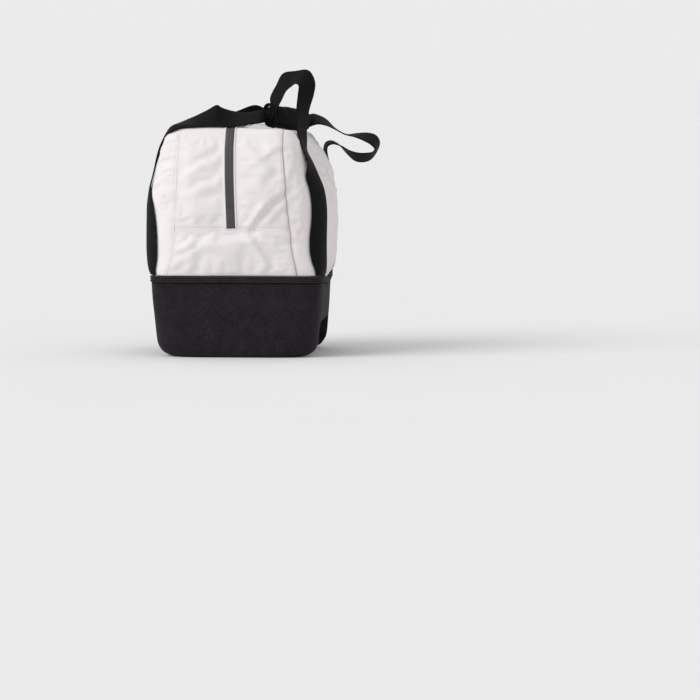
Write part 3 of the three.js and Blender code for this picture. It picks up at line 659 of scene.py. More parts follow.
def spline(points, share):
    """A smooth curve through points, at a share of its rows, that doesn't swing out."""
    last = len(points) - 1
    t = share * last
    i = min(int(t), last - 1)
    s = t - i
    p1, p2 = points[i], points[i + 1]
    p0 = points[i - 1] if i > 0 else p1 + (p1 - p2)
    p3 = points[i + 2] if i + 2 <= last else p2 + (p2 - p1)
    d1 = max((p1 - p0).length ** 0.5, 1e-4)
    d2 = max((p2 - p1).length ** 0.5, 1e-4)
    d3 = max((p3 - p2).length ** 0.5, 1e-4)
    m1 = ((p1 - p0) / d1 - (p2 - p0) / (d1 + d2) + (p2 - p1) / d2) * d2
    m2 = ((p2 - p1) / d2 - (p3 - p1) / (d2 + d3) + (p3 - p2) / d3) * d2
    s2, s3 = s * s, s * s * s
    begin = p1 * (2 * s3 - 3 * s2 + 1) + m1 * (s3 - 2 * s2 + s)
    return begin + p2 * (3 * s2 - 2 * s3) + m2 * (s3 - s2)


# Materials


class Shader:
    """A node material with short calls for the nodes that these cloths need."""

    def __init__(self, name):
        self.material = bpy.data.materials.new(name)
        self.material.use_nodes = True
        self.tree = self.material.node_tree
        self.tree.nodes.clear()
        out = self.tree.nodes.new("ShaderNodeOutputMaterial")
        self.base = self.tree.nodes.new("ShaderNodeBsdfPrincipled")
        self.tree.links.new(self.base.outputs[0], out.inputs["Surface"])
        coords = self.tree.nodes.new("ShaderNodeTexCoord")
        self.place, self.weave = coords.outputs["Object"], coords.outputs["UV"]

    def fill(self, node, inputs):
        """Set inputs, each a value or another node's output, under its name or number."""
        for key, value in inputs.items():
            socket = node.inputs[key.replace("_", " ") if isinstance(key, str) else key]
            if isinstance(value, bpy.types.NodeSocket):
                self.tree.links.new(value, socket)
            else:
                socket.default_value = value
        return node

    def node(self, kind, **inputs):
        return self.fill(self.tree.nodes.new("ShaderNode" + kind), inputs)

    def finish(self, **inputs):
        self.fill(self.base, inputs)
        return self.material

    def noise(self, vector, scale, detail=3.0, rough=0.55):
        made = self.node("TexNoise", Scale=scale, Detail=detail, Roughness=rough, Vector=vector)
        return made.outputs["Fac"]

    def wave(self, vector, scale, direction="X"):
        made = self.node("TexWave", Scale=scale, Vector=vector)
        made.bands_direction = direction
        return made.outputs["Fac"]

    def math(self, operation, a, b=0.0):
        made = self.node("Math")
        made.operation = operation
        return self.fill(made, {0: a, 1: b}).outputs[0]

    def mix(self, a, b, share):
        """The sum of a and b, weighted with the share and with what is left of it."""
        return self.math(
            "ADD", self.math("MULTIPLY", a, share), self.math("MULTIPLY", b, round(1 - share, 3))
        )

    def ramp(self, factor, *stops):
        made = self.node("ValToRGB", Fac=factor)
        elements = made.color_ramp.elements
        while len(elements) < len(stops):
            elements.new(0.5)
        for element, (position, colour) in zip(elements, stops):
            element.position = position
            element.color = (*colour, 1.0)
        return made.outputs["Color"]

    def spread(self, factor, low, high):
        return self.node("MapRange", Value=factor, To_Min=low, To_Max=high).outputs[0]

    def bump(self, height, strength, distance, **after):
        made = self.node("Bump", Strength=strength, Distance=distance, Height=height, **after)
        return made.outputs[0]


def toned(colour, share):
    """A darker or lighter tone of a colour."""
    return tuple(min(part * share, 1.0) for part in colour)


def cloth_material(name, colour, warm, weave_mm=0.7, crinkle=0.5, roughness=0.72):
    """Fine woven cloth with a faint crinkle, from Object coordinates."""
    s = Shader(name)
    blotch = s.noise(s.place, 22.0, 4.0)
    shade = s.mix(blotch, s.noise(s.place, 900.0, 2.0), 0.8)
    turns = 1000.0 / weave_mm / 6.2832 * 2
    threads = s.math("MAXIMUM", s.wave(s.place, turns, "Z"), s.wave(s.place, turns, "DIAGONAL"))
    first = s.bump(threads, 0.25, 0.00012)
    second = s.bump(s.noise(s.place, 150.0, 5.0, 0.6), crinkle, 0.0006, Normal=first)
    return s.finish(
        Base_Color=s.ramp(shade, (0.3, warm), (0.65, colour)),
        Roughness=s.spread(blotch, roughness - 0.06, roughness + 0.08),
        Normal=s.bump(s.noise(s.place, 38.0, 3.0, 0.5), crinkle * 0.7, 0.0022, Normal=second),
        Sheen_Weight=0.25, Sheen_Roughness=0.6, Specular_IOR_Level=0.3,
    )


def tub_material(colour):
    """Dark melange cloth with fine light flecks."""
    s = Shader("tub_cloth")
    fleck = s.noise(s.place, 420.0, 4.0, 0.75)
    blotch = s.noise(s.place, 60.0, 4.0, 0.6)
    tones = ((0.36, toned(colour, 0.55)), (0.5, colour), (0.66, toned(colour, 1.9)))
    return s.finish(
        Base_Color=s.ramp(s.mix(fleck, blotch, 0.7), *tones),
        Roughness=s.spread(blotch, 0.78, 0.95),
        Normal=s.bump(s.noise(s.place, 25.0), 0.35, 0.0025, Normal=s.bump(fleck, 0.5, 0.0004)),
        Sheen_Weight=0.03, Sheen_Roughness=0.5, Specular_IOR_Level=0.14,
    )


def webbing_material(name, colour, ribs=True):
    """Woven webbing: fine twill along the length and a soft shine."""
    s = Shader(name)
    threads = s.mix(s.wave(s.weave, 120.0, "DIAGONAL"), s.wave(s.weave, 90.0), 0.6)
    blotch = s.noise(s.place, 90.0, 4.0)
    tones = ((0.25, toned(colour, 0.6)), (0.75, toned(colour, 2.0)))
    first = s.bump(threads if ribs else blotch, 0.5, 0.0003)
    return s.finish(
        Base_Color=s.ramp(s.mix(threads, blotch, 0.5), *tones),
        Roughness=s.spread(blotch, 0.62, 0.82),
        Normal=s.bump(s.noise(s.place, 60.0), 0.3, 0.0012, Normal=first),
        Sheen_Weight=0.02, Sheen_Roughness=0.4, Specular_IOR_Level=0.11,
    )


def zip_material(colour):
    """Coated zip tape: smooth, with a closed coil line down the middle and fine cross grain."""
    s = Shader("zip_coated")
    across = s.node("SeparateXYZ", Vector=s.weave).outputs[0]
    centre = s.math("ABSOLUTE", s.math("SUBTRACT", across, 0.5))
    groove = s.math("LESS_THAN", centre, 0.035)
    rail = s.math("LESS_THAN", s.math("ABSOLUTE", s.math("SUBTRACT", centre, 0.24)), 0.02)
    lines = s.math("MAXIMUM", groove, s.math("MULTIPLY", rail, 0.5))
    grain = s.noise(s.place, 300.0)
    first = s.bump(s.math("SUBTRACT", 1.0, lines), 0.35, 0.0004)
    return s.finish(
        Base_Color=s.ramp(lines, (0.0, colour), (1.0, toned(colour, 0.72))),
        Roughness=s.spread(grain, 0.38, 0.55),
        Normal=s.bump(grain, 0.2, 0.0002, Normal=first),
        Specular_IOR_Level=0.45,
    )


def paper_material(colour):
    """Matte studio paper with a very faint grain."""
    s = Shader("studio_paper")
    grain = s.noise(s.place, 3.0, 2.0)
    return s.finish(
        Base_Color=s.ramp(grain, (0.3, toned(colour, 0.99)), (0.7, colour)),
        Roughness=0.95, Specular_IOR_Level=0.05,
    )


# Settings that a user may change


def colour_setting(name, description, default):
    return bpy.props.FloatVectorProperty(
        name=name, description=description, subtype="COLOR", size=3, default=default, min=0, max=1
    )


def length_setting(name, description, default, low, high):
    return bpy.props.FloatProperty(
        name=name, description=description, subtype="DISTANCE", unit="LENGTH", default=default,
        min=low, max=high,
    )


class TrunkBagCloth(bpy.types.PropertyGroup):
    colour: colour_setting("Cloth colour", "Colour of the soft body", (0.8, 0.765, 0.76))
    shade: colour_setting("Cloth shade", "Darker tone of the same cloth", (0.745, 0.705, 0.7))
    thickness: length_setting(
        "Cloth thickness", "Thickness of the cloth", 0.0016, 0.0005, 0.003
    )
    looseness: bpy.props.FloatProperty(
        name="Looseness", description="How much longer the cloth is than its frame, as a share",
        subtype="FACTOR", default=0.02, min=0.0, max=0.08,
    )
    stiffness: bpy.props.FloatProperty(
        name="Bending stiffness", description="How stiffly the cloth folds", default=5.0, min=0.01,
        max=10.0,
    )


class TrunkBagTub(bpy.types.PropertyGroup):
    colour: colour_setting("Tub colour", "Colour of the stiff tub", (0.0155, 0.0122, 0.0158))
    band_colour: colour_setting(
        "Band colour", "Colour of the ribbed rim band", (0.017, 0.0155, 0.0172)
    )
    band_proud: length_setting(
        "Band proud", "How far the band stands out", 0.0029, 0.001, 0.005
    )


class TrunkBagHandles(bpy.types.PropertyGroup):
    colour: colour_setting("Webbing colour", "Colour of the webbing", (0.0026, 0.0024, 0.0027))
    thickness: length_setting(
        "Webbing thickness", "Thickness of the webbing", 0.002, 0.001, 0.004
    )


class TrunkBagZip(bpy.types.PropertyGroup):
    colour: colour_setting("Zip colour", "Colour of the coated zip", (0.044, 0.043, 0.047))
    width: length_setting("Zip width", "Width of the coated zip", 0.0146, 0.008, 0.02)


class TrunkBagStage(bpy.types.PropertyGroup):
    paper: colour_setting("Paper colour", "Colour of the studio floor", (0.83, 0.822, 0.83))
    backdrop: colour_setting("Backdrop colour", "Colour behind the floor", (0.84, 0.832, 0.84))
    key_strength: bpy.props.FloatProperty(
        name="Key light", description="Strength of the large soft light", default=1.62, min=0,
    )
    fill: bpy.props.FloatProperty(
        name="Fill", description="Strength of the light from all round", default=0.715, min=0,
    )


# Operators, one for each piece or group of like pieces


class OBJECT_OT_trunk_bag_stage(bpy.types.Operator):
    """Add the floor, the lights and the camera"""

    bl_idname = "object.trunk_bag_stage"
    bl_label = "Stage"

    def execute(self, context):
        scene = context.scene
        settings = scene.trunk_bag_stage
        bm = bmesh.new()
        bmesh.ops.create_grid(bm, x_segments=40, y_segments=40, size=FLOOR_SIZE)
        for vert in bm.verts:
            vert.co.z = FLOOR * MM
        floor = new_object("studio_floor", bm)
        floor.data.materials.append(paper_material(settings.paper))

        world = bpy.data.worlds.new("studio")
        scene.world = world
        world.use_nodes = True
        tree = world.node_tree
        soft = tree.nodes["Background"]
        soft.inputs["Color"].default_value = (1.0, 1.0, 1.0, 1.0)
        soft.inputs["Strength"].default_value = settings.fill
        seen = tree.nodes.new("ShaderNodeBackground")
        seen.inputs["Color"].default_value = (*settings.backdrop, 1.0)
        path = tree.nodes.new("ShaderNodeLightPath")
        mix = tree.nodes.new("ShaderNodeMixShader")
        tree.links.new(path.outputs["Is Camera Ray"], mix.inputs["Fac"])
        tree.links.new(soft.outputs[0], mix.inputs[1])
        tree.links.new(seen.outputs[0], mix.inputs[2])
        tree.links.new(mix.outputs[0], tree.nodes["World Output"].inputs["Surface"])

        key = bpy.data.lights.new("key", "SUN")
        key.energy = settings.key_strength
        key.angle = KEY_SPREAD
        lamp = bpy.data.objects.new("key", key)
        lamp.rotation_euler = KEY_RUN.to_track_quat("-Z", "Y").to_euler()
        scene.collection.objects.link(lamp)

        camera_data = bpy.data.cameras.new("camera")
        camera_data.lens = CAMERA_LENS
        camera_data.sensor_width = 36.0
        camera_data.clip_end = 60.0
        camera = bpy.data.objects.new("camera", camera_data)
        camera.location = CAMERA_PLACE
        aim = CAMERA_AIM - CAMERA_PLACE
        camera.rotation_euler = aim.to_track_quat("-Z", "Y").to_euler()
        scene.collection.objects.link(camera)
        scene.camera = camera
        scene.view_settings.view_transform = "Standard"
        return {"FINISHED"}


class OBJECT_OT_trunk_bag_body(bpy.types.Operator):
    """Add the soft body in place of its six cloth panels"""

    bl_idname = "object.trunk_bag_body"
    bl_label = "Soft body"

    def execute(self, context):
        settings = context.scene.trunk_bag_cloth
        finer = 2
        columns, rows = COARSE_COLUMNS * finer, COARSE_ROWS * finer
        moved = self.settle(context, settings)

        def place(u, v):
            point = skin_point(*skin_place(u, v))
            return point + between_moves(moved, u * COARSE_COLUMNS, v * COARSE_ROWS)

        bm = grid_surface(columns, rows, place, True)
        material = cloth_material("body_cloth", settings.colour, settings.shade)
        obj = finish_object(
            "body_cloth", bm,
            ("near_lower_panel", "far_lower_panel", "rear_lid_panel", "front_lid_panel",
             "rear_side_panel", "front_side_panel"),
            material,
        )
        wall(obj, settings.thickness / MM)
        return {"FINISHED"}

    def settle(self, context, settings):
        """Let a coarse copy of the skin settle as slightly loose cloth; give each point's move."""
        bm = bmesh.new()
        bmesh.ops.create_grid(bm, x_segments=COARSE_COLUMNS, y_segments=COARSE_ROWS, size=1.0)
        column = bm.verts.layers.int.new("column")
        row = bm.verts.layers.int.new("row")
        for vert in bm.verts:
            u, v = grid_shares(vert)
            vert[column] = int(round(u * COARSE_COLUMNS)) % COARSE_COLUMNS
            vert[row] = int(round(v * COARSE_ROWS))
            vert.co = skin_point(*skin_place(u, v)) * MM
        bmesh.ops.remove_doubles(bm, verts=bm.verts, dist=1e-6)
        bmesh.ops.recalc_face_normals(bm, faces=bm.faces)
        bm.verts.index_update()
        places = [(vert[column], vert[row]) for vert in bm.verts]
        rest = [vert.co.copy() for vert in bm.verts]
        obj = new_object("settling", bm)
        held = obj.vertex_groups.new(name="held")
        weights = [held_weight(*skin_place(i / COARSE_COLUMNS, j / COARSE_ROWS)) for i, j in places]
        for index, weight in enumerate(weights):
            if weight > 0.02:
                held.add([index], weight, "REPLACE")
        cloth = obj.modifiers.new("cloth", "CLOTH")
        for name, value in (
            ("quality", 6), ("mass", 0.2), ("tension_stiffness", 20), ("compression_stiffness", 20),
            ("shear_stiffness", 10), ("bending_stiffness", settings.stiffness), ("air_damping", 3),
            ("vertex_group_mass", "held"), ("pin_stiffness", 40), ("use_pressure", True),
            ("shrink_min", -settings.looseness), ("uniform_pressure_force", 1.5),
        ):
            setattr(cloth.settings, name, value)
        cloth.settings.effector_weights.gravity = 0.0
        cloth.collision_settings.use_collision = False
        cloth.point_cache.frame_start = 1
        cloth.point_cache.frame_end = SETTLE_FRAMES
        scene = context.scene
        for number in range(1, SETTLE_FRAMES + 1):
            scene.frame_set(number)
        settled = obj.evaluated_get(context.evaluated_depsgraph_get()).to_mesh()
        moves = {}
        for place, start, weight, vert in zip(places, rest, weights, settled.vertices):
            move = (vert.co - start) / MM * min(1, (1 - weight) * 10)
            most = MOST_MOVE_END if abs(start.x) > 0.1 else MOST_MOVE
            if move.length > most:
                move *= most / move.length
            moves[place] = move
        obj.to_mesh_clear()
        bpy.data.objects.remove(obj)
        scene.frame_set(1)
        return moves


class OBJECT_OT_trunk_bag_seams(bpy.types.Operator):
    """Add the piping of the long seams, the cross seams and the stitches"""

    bl_idname = "object.trunk_bag_seams"
    bl_label = "Seams and stitches"

    def execute(self, context):
        settings = context.scene.trunk_bag_cloth
        pale = cloth_material("piping_cloth", settings.colour, settings.shade, 0.5, 0.2)
        mauve = cloth_material("piping_shade", (0.46, 0.39, 0.41), (0.4, 0.33, 0.36), 0.5, 0.2)
        thread = cloth_material("thread", (0.74, 0.7, 0.69), (0.66, 0.62, 0.61), 0.3, 0.1, 0.6)
        for name, line, radius, material in (
            ("rear_piping", rear_seam, 0.5, pale),
            ("front_piping", front_seam, 0.95, mauve),
        ):
            path = path_over(line, 0.0, 0.006, 2.5)
            points, ups = zip(*(skin_offset(a, s, PIPING_LIFT) for a, s in path))
            finish_object(name, tube_along(points, ups, radius), (), material)
        lines = ((rear_seam, STITCH_AWAY), (front_seam, -STITCH_AWAY), (rear_seam, -STITCH_AWAY))
        stitches = [path_over(line, shift, 0.01, 1.6) for line, shift in lines]
        for side in (-1, 1):
            for drop in (-2.6, 2.6):
                level = ZIP_FOOT + drop / BODY_HEIGHT
                start = place_on_wall(rear_seam, level, side, 1.0)
                end = place_on_wall(front_seam, level, side, -1.0)
                steps = 110
                stitches.append(
                    [(start + (end - start) * i / steps, level) for i in range(steps + 1)]
                )
        bm = bmesh.new()
        for path in stitches:
            self.stitch_row(bm, [skin_offset(a, s, STITCH_LIFT) for a, s in path])
        finish_object("stitches", bm, (), thread)
        return {"FINISHED"}

    def stitch_row(self, bm, row):
        """Small oval stitches along a row of points and normals."""
        half, across, high = STITCH_HALVES
        travelled = 0.0
        due = 0.0
        for (here, up), (ahead, _) in zip(row, row[1:]):
            step = (ahead - here).length
            while due < travelled + step:
                run = (ahead - here).normalized()
                centre = here + run * (due - travelled)
                aside = run.cross(up).normalized()
                over = aside.cross(run)
                made = bmesh.ops.create_icosphere(bm, subdivisions=1, radius=1.0)["verts"]
                for vert in made:
                    x, y, z = vert.co
                    vert.co = centre + run * x * half + aside * y * across + over * z * high
                    vert.co *= MM
                due += 2 * half + STITCH_PAUSE
            travelled += step


class OBJECT_OT_trunk_bag_zip(bpy.types.Operator):
    """Add the coated zip, its two cloth lips and the slider's finish"""

    bl_idname = "object.trunk_bag_zip"
    bl_label = "Zip"

    def execute(self, context):
        settings = context.scene.trunk_bag_zip
        cloth = context.scene.trunk_bag_cloth
        width = settings.width / MM
        path = path_over(zip_line, 0.0, ZIP_FOOT + 0.004, 2.5)
        count = len(path)
        middle, ups = zip(*(skin_offset(a, s, 0.0, False) for a, s in path))
        asides = [run_at(middle, i).cross(ups[i]).normalized() for i in range(count)]
        fine = [skin_offset(a, s, ZIP_LIFT)[0] for a, s in path]

        def place(u, v):
            i = row_at(v, count)
            bow = 0.5 * (1 - (2 * u - 1) ** 2)
            dip = 0.45 * bell((u - 0.5) / 0.035)
            return fine[i] + asides[i] * ((u - 0.5) * width) + ups[i] * (bow - dip)

        bm = grid_surface(20, count - 1, place, False, lambda u, v: (u, v * 24))
        obj = finish_object("zip_coated", bm, ("zip_tape",), zip_material(settings.colour))
        wall(obj, 1.0)

        pale = cloth_material("lip_cloth", cloth.colour, cloth.shade, 0.5, 0.25)
        for name, sign in (("zip_lip_rear", -1), ("zip_lip_front", 1)):
            aside = sign * (width / 2 + 0.75)
            points = [fine[i] + asides[i] * aside - ups[i] * 0.15 for i in range(count)]
            finish_object(name, tube_along(points, ups, LIP_RADIUS, 0.7), (), pale)
        slider = bpy.data.objects.get("zip_slider")
        if not slider:
            raise RuntimeError("the zip's slider is missing")
        slider.data.materials.clear()
        slider.data.materials.append(
            webbing_material("slider_metal", (0.05, 0.05, 0.052), False)
        )
        return {"FINISHED"}


class OBJECT_OT_trunk_bag_tub(bpy.types.Operator):
    """Add the cloth of the stiff tub, with its tunnel"""

    bl_idname = "object.trunk_bag_tub"
    bl_label = "Tub"

    def execute(self, context):
        settings = context.scene.trunk_bag_tub
        columns, rows = ((240, 70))

        def place(u, v):
            level = v**1.6
            wide = column_at(TUB_ROWS, 1, level) * TUB_HALF_WIDTH
            deep = column_at(TUB_ROWS, 2, level) * TUB_HALF_DEPTH
            square = column_at(TUB_ROWS, 3, level)
            x, y = plan_point(spaced_angle(u, 0.04), wide, deep, square)
            side = smooth(0.5, 0.9, abs(x) / wide)
            drop = sag_at(y) * side * smooth(0.35, 1, level)
            pos = Vector((x, y, level * TUB_HEIGHT))
            push = 0.9 * noise.noise(pos * 0.014) + 0.35 * noise.noise(pos * 0.04)
            push *= smooth(0.0, 0.2, level)
            swell = 1 + push / 130
            return Vector((x * swell, y * swell, FLOOR + level * TUB_HEIGHT - drop))

        bm = grid_surface(columns, rows, place, True)
        cap_holes(bm)
        bmesh.ops.recalc_face_normals(bm, faces=bm.faces)
        blank = new_object("tub_blank", bm)

        cutter = self.tunnel()
        boolean = blank.modifiers.new("tunnel", "BOOLEAN")
        boolean.object = cutter
        boolean.operation = "DIFFERENCE"
        boolean.solver = "EXACT"
        context.view_layer.update()
        graph = context.evaluated_depsgraph_get()
        cut = bpy.data.meshes.new_from_object(blank.evaluated_get(graph))
        bpy.data.objects.remove(blank)
        bpy.data.objects.remove(cutter)
        bm = bmesh.new()
        bm.from_mesh(cut)
        bpy.data.meshes.remove(cut)
        if not bm.faces:
            raise RuntimeError("the tunnel could not be cut")
        edges = [
            e for e in bm.edges
            if len(e.link_faces) == 2 and e.calc_face_angle(0) > 0.9
            and all(vert.co.z < 0.02 for vert in e.verts)
        ]
        bmesh.ops.bevel(
            bm, geom=edges, offset=0.0016, offset_type="OFFSET", affect="EDGES", segments=2,
            profile=0.5, material=-1,
        )
        finish_object("tub_cloth", bm, ("base_shell",), tub_material(settings.colour))
        return {"FINISHED"}

    def tunnel(self):
        """A bar with two rounded top edges that cuts the tunnel."""
        half, turn = TUNNEL_WIDTH / 2, TUNNEL_ROUND
        angles = [i * math.pi / 16 for i in range(9)]
        corner = [(half - turn + turn * math.cos(a), -turn + turn * math.sin(a)) for a in angles]
        profile = [(-half, FLOOR - 20), (half, FLOOR - 20)]
        profile += corner + [(-y, z) for y, z in reversed(corner)]
        bm = bmesh.new()
        face = bm.faces.new([bm.verts.new((-0.2, y * MM, z * MM)) for y, z in profile])
        made = bmesh.ops.extrude_face_region(bm, geom=[face])["geom"]
        moved = [item for item in made if isinstance(item, bmesh.types.BMVert)]
        bmesh.ops.translate(bm, verts=moved, vec=(0.4, 0, 0))
        bmesh.ops.recalc_face_normals(bm, faces=bm.faces)
        return new_object("tunnel", bm)


class OBJECT_OT_trunk_bag_band(bpy.types.Operator):
    """Add the ribbed rim band"""

    bl_idname = "object.trunk_bag_band"
    bl_label = "Rim band"

    def execute(self, context):
        settings = context.scene.trunk_bag_tub
        proud = settings.band_proud / MM

        def place(u, v):
            angle = spaced_angle(u, 0.04)
            edge = smooth(0, 0.1, v) * smooth(1, 0.9, v)
            rib = 0.5 + 0.5 * math.cos(v * 3 * 2 * math.pi + math.pi)
            pos = Vector((math.cos(angle), math.sin(angle), 0)) * 3.0
            out = -1.8 + (proud + 1.8) * edge * (0.72 + 0.28 * rib) + 0.35 * noise.noise(pos)
            x, y = plan_point(angle, TUB_HALF_WIDTH + out, TUB_HALF_DEPTH + out, RIM_SQUARE)
            side = smooth(0.5, 0.9, abs(x) / TUB_HALF_WIDTH)
            height = BAND_FOOT + v * (BAND_TOP - BAND_FOOT)
            return Vector((x, y, height - sag_at(y) * side + 0.4 * noise.noise(pos * 0.8)))

        bm = grid_surface(300, 30, place, True, lambda u, v: (v * 0.011, u))
        material = webbing_material("band_ribbed", settings.band_colour, False)
        obj = finish_object("band_ribbed", bm, ("rim_band",), material)
        wall(obj, 1.8)
        return {"FINISHED"}


class OBJECT_OT_trunk_bag_handles(bpy.types.Operator):
    """Add the two webbing handles"""

    bl_idname = "object.trunk_bag_handles"
    bl_label = "Handles"

    ACROSS = 8

    def between(self, near, far, bow=0.0):
        """A row across the webbing, from one edge to the other."""
        shares = [i / self.ACROSS for i in range(self.ACROSS + 1)]
        return [near.lerp(far, s) + Vector((0, 0, bow * math.sin(math.pi * s))) for s in shares]

    def free(self, row, level=None):
        """A row of a free run; with a level, its near edge lies on the skin."""
        nx, ny, nz, fx, fy, fz = row
        foot = CREST + HANDLE_LIFT
        near = Vector((nx * HALF_WIDTH, ny * HALF_DEPTH, foot + nz * HANDLE_RISE))
        far = Vector((fx * HALF_WIDTH, fy * HALF_DEPTH, foot + fz * HANDLE_RISE))
        if level:
            angle = place_on_wall(lambda _level, _y: nx * HALF_WIDTH, level, -1)
            near = skin_offset(angle, level, EDGE_LIFT, False)[0]
            return self.between(near, far, 3.5 * smooth(0.98, 0.965, level))
        return self.between(near, far)

    def leg(self, side, end, levels):
        """Rows of a leg that is sewn to a gusset."""
        rows = []
        for level in levels:
            wide, deep, square, _ = body_row(level)
            lift = (4 * GAP if level > LEG_LEVELS[-1] else GAP) * smooth(-0.01, 0.03, level)
            lift += WEB_LIFT * smooth(-0.03, 0.03, level)
            across = end * leg_across(side, level) * HALF_DEPTH
            row = []
            for i in range(self.ACROSS + 1):
                y = across + WEB_WIDTH * (i / self.ACROSS - 0.5)
                x = side * wide * (1 - (abs(y) / deep) ** square) ** (1 / square)
                row.append(skin_offset(math.atan2(y, x), level, lift, False)[0])
            rows.append(row)
        return rows

    def in_grip(self, share, aside):
        """A row inside the wrap, beside its middle line."""
        middle = GRIP_MOUTH.lerp(GRIP_TAIL, share) + GRIP_BESIDE * aside
        return self.between(middle - GRIP_UP * GRIP_WEB_HALF, middle + GRIP_UP * GRIP_WEB_HALF)

    def build(self, name, rows, samples, node, material):
        """One length of webbing through its rows."""
        tracks = [[row[i] for row in rows] for i in range(self.ACROSS + 1)]
        lengths = [0.0]
        middle = [spline(tracks[self.ACROSS // 2], j / samples) for j in range(samples + 1)]
        for a, b in zip(middle, middle[1:]):
            lengths.append(lengths[-1] + (b - a).length)

        def place(u, v):
            i = min(int(round(u * self.ACROSS)), self.ACROSS)
            point = spline(tracks[i], v)
            return clear_of_skin(point, WEB_CLEARANCE) if node == "rear_handle" else point

        def measure(u, v):
            return (u * WEB_WIDTH * MM, lengths[min(int(round(v * samples)), samples)] * MM)

        bm = grid_surface(self.ACROSS, samples, place, False, measure)
        obj = finish_object(name, bm, (node,), material)
        wall(obj, bpy.context.scene.trunk_bag_handles.thickness / MM, 0.0)
        round_off(obj)

    def execute(self, context):
        material = webbing_material("webbing", context.scene.trunk_bag_handles.colour)
        tall = LEG_LEVELS + SHOULDER_LEVELS
        grip = (-0.03, 0.2, 0.8, 1.03)
        front = self.leg(1, -1, LEG_LEVELS)
        front += [self.free(row) for row in FRONT_NEAR_RUN]
        front += [self.in_grip(share, 3) for share in grip]
        front += [self.free(row) for row in FRONT_FAR_RUN]
        front += self.leg(1, 1, LEG_LEVELS)[::-1]
        rear = self.leg(-1, -1, tall)
        lying = len(REAR_NEAR_EDGE)
        rear += [self.free(*pair) for pair in zip(REAR_NEAR_RUN, REAR_NEAR_EDGE)]
        rear += [self.free(row) for row in REAR_NEAR_RUN[lying:]]
        rear += [self.in_grip(share, -3) for share in grip]
        rear += [self.free(row)[::-1] for row in REAR_FAR_RUN]
        rear += [row[::-1] for row in self.leg(-1, 1, tall)[::-1]]
        self.build("front_webbing", front, 260, "front_handle", material)
        self.build("rear_webbing", rear, 220, "rear_handle", material)
        return {"FINISHED"}


class OBJECT_OT_trunk_bag_grip(bpy.types.Operator):
    """Add the padded wrap that holds the two handles together"""

    bl_idname = "object.trunk_bag_grip"
    bl_label = "Padded wrap"

    def execute(self, context):
        def place(u, v):
            angle = u * 2 * math.pi
            swell = 1 + 0.09 * math.sin(math.pi * v)
            pinch = 0.1 * bell((v - 0.02) / 0.05) + 0.08 * bell((v - 0.98) / 0.05)
            crease = noise.noise(Vector((v * 9, math.cos(angle) * 1.4, math.sin(angle) * 1.4)))
            crease += 0.6 * noise.noise(Vector((v * 20, math.cos(angle) * 2, math.sin(angle) * 2)))
            scale = swell - pinch + 0.05 * crease
            x, y = plan_point(angle, GRIP_HALF_WIDTH * scale, GRIP_HALF_HEIGHT * scale, 2.6)
            return GRIP_MOUTH.lerp(GRIP_TAIL, v) + GRIP_BESIDE * x + GRIP_UP * y

        bm = grid_surface(64, 90, place, True, lambda u, v: (u * 0.09, v * 0.1))
        material = webbing_material("wrap_cloth", context.scene.trunk_bag_handles.colour, False)
        obj = finish_object("grip_wrap", bm, ("handle_grip",), material)
        wall(obj, 3.0)
        round_off(obj)
        return {"FINISHED"}


class OBJECT_OT_trunk_bag_knot(bpy.types.Operator):
    """Add the two tight turns of webbing at the mouth of the wrap"""

    bl_idname = "object.trunk_bag_knot"
    bl_label = "Knot"

    def execute(self, context):
        settings = context.scene.trunk_bag_handles
        material = webbing_material("knot_webbing", settings.colour)
        # Name, place along the wrap, lean, slant, half width, half height, width, closed end.
        turns = (
            ("knot_turn_low", 0.0, 0.0, 0.0, 12.4, 15.6, 24.0, True),
            ("knot_turn_high", -0.02, -0.26, -0.22, 13.6, 16.6, 10.5, False),
        )
        for name, share, lean, slant, wide, tall, width, closed in turns:
            middle = GRIP_MOUTH.lerp(GRIP_TAIL, share)

            def place(u, v):
                angle = u * 2 * math.pi
                along = (v - 0.5) * width
                around = Vector((math.cos(angle) * 1.3, math.sin(angle) * 1.3, v * 2.5))
                crease = noise.noise(around)
                if closed:
                    full = math.sin(math.pi / 2 * min(1, 0.06 + 1.3 * v))
                    curl = 1.6 * crease * full + 1.2 * full * math.sin(2 * angle + 6 * v)
                else:
                    full = 1.0
                    curl = 1.6 * (2 * v - 1) ** 2 + 1.6 * crease
                    along *= 1 + 0.2 * math.sin(angle + 1.0)
                ray_x = (wide * full + curl) * math.cos(angle)
                ray_y = (tall * full + curl) * math.sin(angle)
                along += lean * ray_y + slant * ray_x
                return middle + GRIP_RUN * along + GRIP_BESIDE * ray_x + GRIP_UP * ray_y

            bm = grid_surface(56, 12, place, True, lambda u, v: (v * width * MM, u * 0.09))
            obj = finish_object(name, bm, (), material)
            wall(obj, settings.thickness / MM, 0.0)
            round_off(obj)
        return {"FINISHED"}


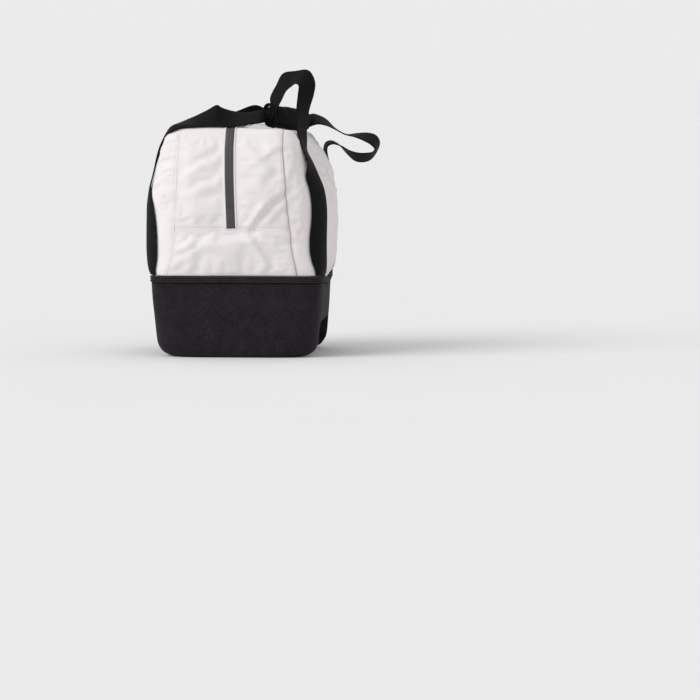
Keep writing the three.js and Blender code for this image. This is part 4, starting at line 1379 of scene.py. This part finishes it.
class VIEW3D_PT_trunk_bag(bpy.types.Panel):
    """The trunk bag's pieces and settings"""

    bl_label = "Trunk bag"
    bl_idname = "VIEW3D_PT_trunk_bag"
    bl_space_type = "VIEW_3D"
    bl_region_type = "UI"
    bl_category = "Trunk bag"

    def draw(self, context):
        scene = context.scene
        for operator in OPERATORS:
            self.layout.operator(operator.bl_idname)
        for group, _ in GROUPS:
            settings = getattr(scene, group)
            box = self.layout.box()
            for name in settings.bl_rna.properties.keys():
                if name not in ("rna_type", "name"):
                    box.prop(settings, name)


GROUPS = (
    ("trunk_bag_cloth", TrunkBagCloth),
    ("trunk_bag_tub", TrunkBagTub),
    ("trunk_bag_handles", TrunkBagHandles),
    ("trunk_bag_zip", TrunkBagZip),
    ("trunk_bag_stage", TrunkBagStage),
)
OPERATORS = (
    OBJECT_OT_trunk_bag_stage,
    OBJECT_OT_trunk_bag_body,
    OBJECT_OT_trunk_bag_seams,
    OBJECT_OT_trunk_bag_zip,
    OBJECT_OT_trunk_bag_tub,
    OBJECT_OT_trunk_bag_band,
    OBJECT_OT_trunk_bag_handles,
    OBJECT_OT_trunk_bag_grip,
    OBJECT_OT_trunk_bag_knot,
)


def register():
    for name, group in GROUPS:
        bpy.utils.register_class(group)
        setattr(bpy.types.Scene, name, bpy.props.PointerProperty(type=group))
    for operator in OPERATORS:
        bpy.utils.register_class(operator)
    bpy.utils.register_class(VIEW3D_PT_trunk_bag)


def unregister():
    bpy.utils.unregister_class(VIEW3D_PT_trunk_bag)
    for operator in reversed(OPERATORS):
        bpy.utils.unregister_class(operator)
    for name, group in reversed(GROUPS):
        delattr(bpy.types.Scene, name)
        bpy.utils.unregister_class(group)


def main():
    register()
    bpy.ops.object.trunk_bag_stage()
    bpy.ops.object.trunk_bag_body()
    bpy.ops.object.trunk_bag_seams()
    bpy.ops.object.trunk_bag_zip()
    bpy.ops.object.trunk_bag_tub()
    bpy.ops.object.trunk_bag_band()
    bpy.ops.object.trunk_bag_handles()
    bpy.ops.object.trunk_bag_grip()
    bpy.ops.object.trunk_bag_knot()
    bpy.context.view_layer.update()


if __name__ == "__main__":
    main()
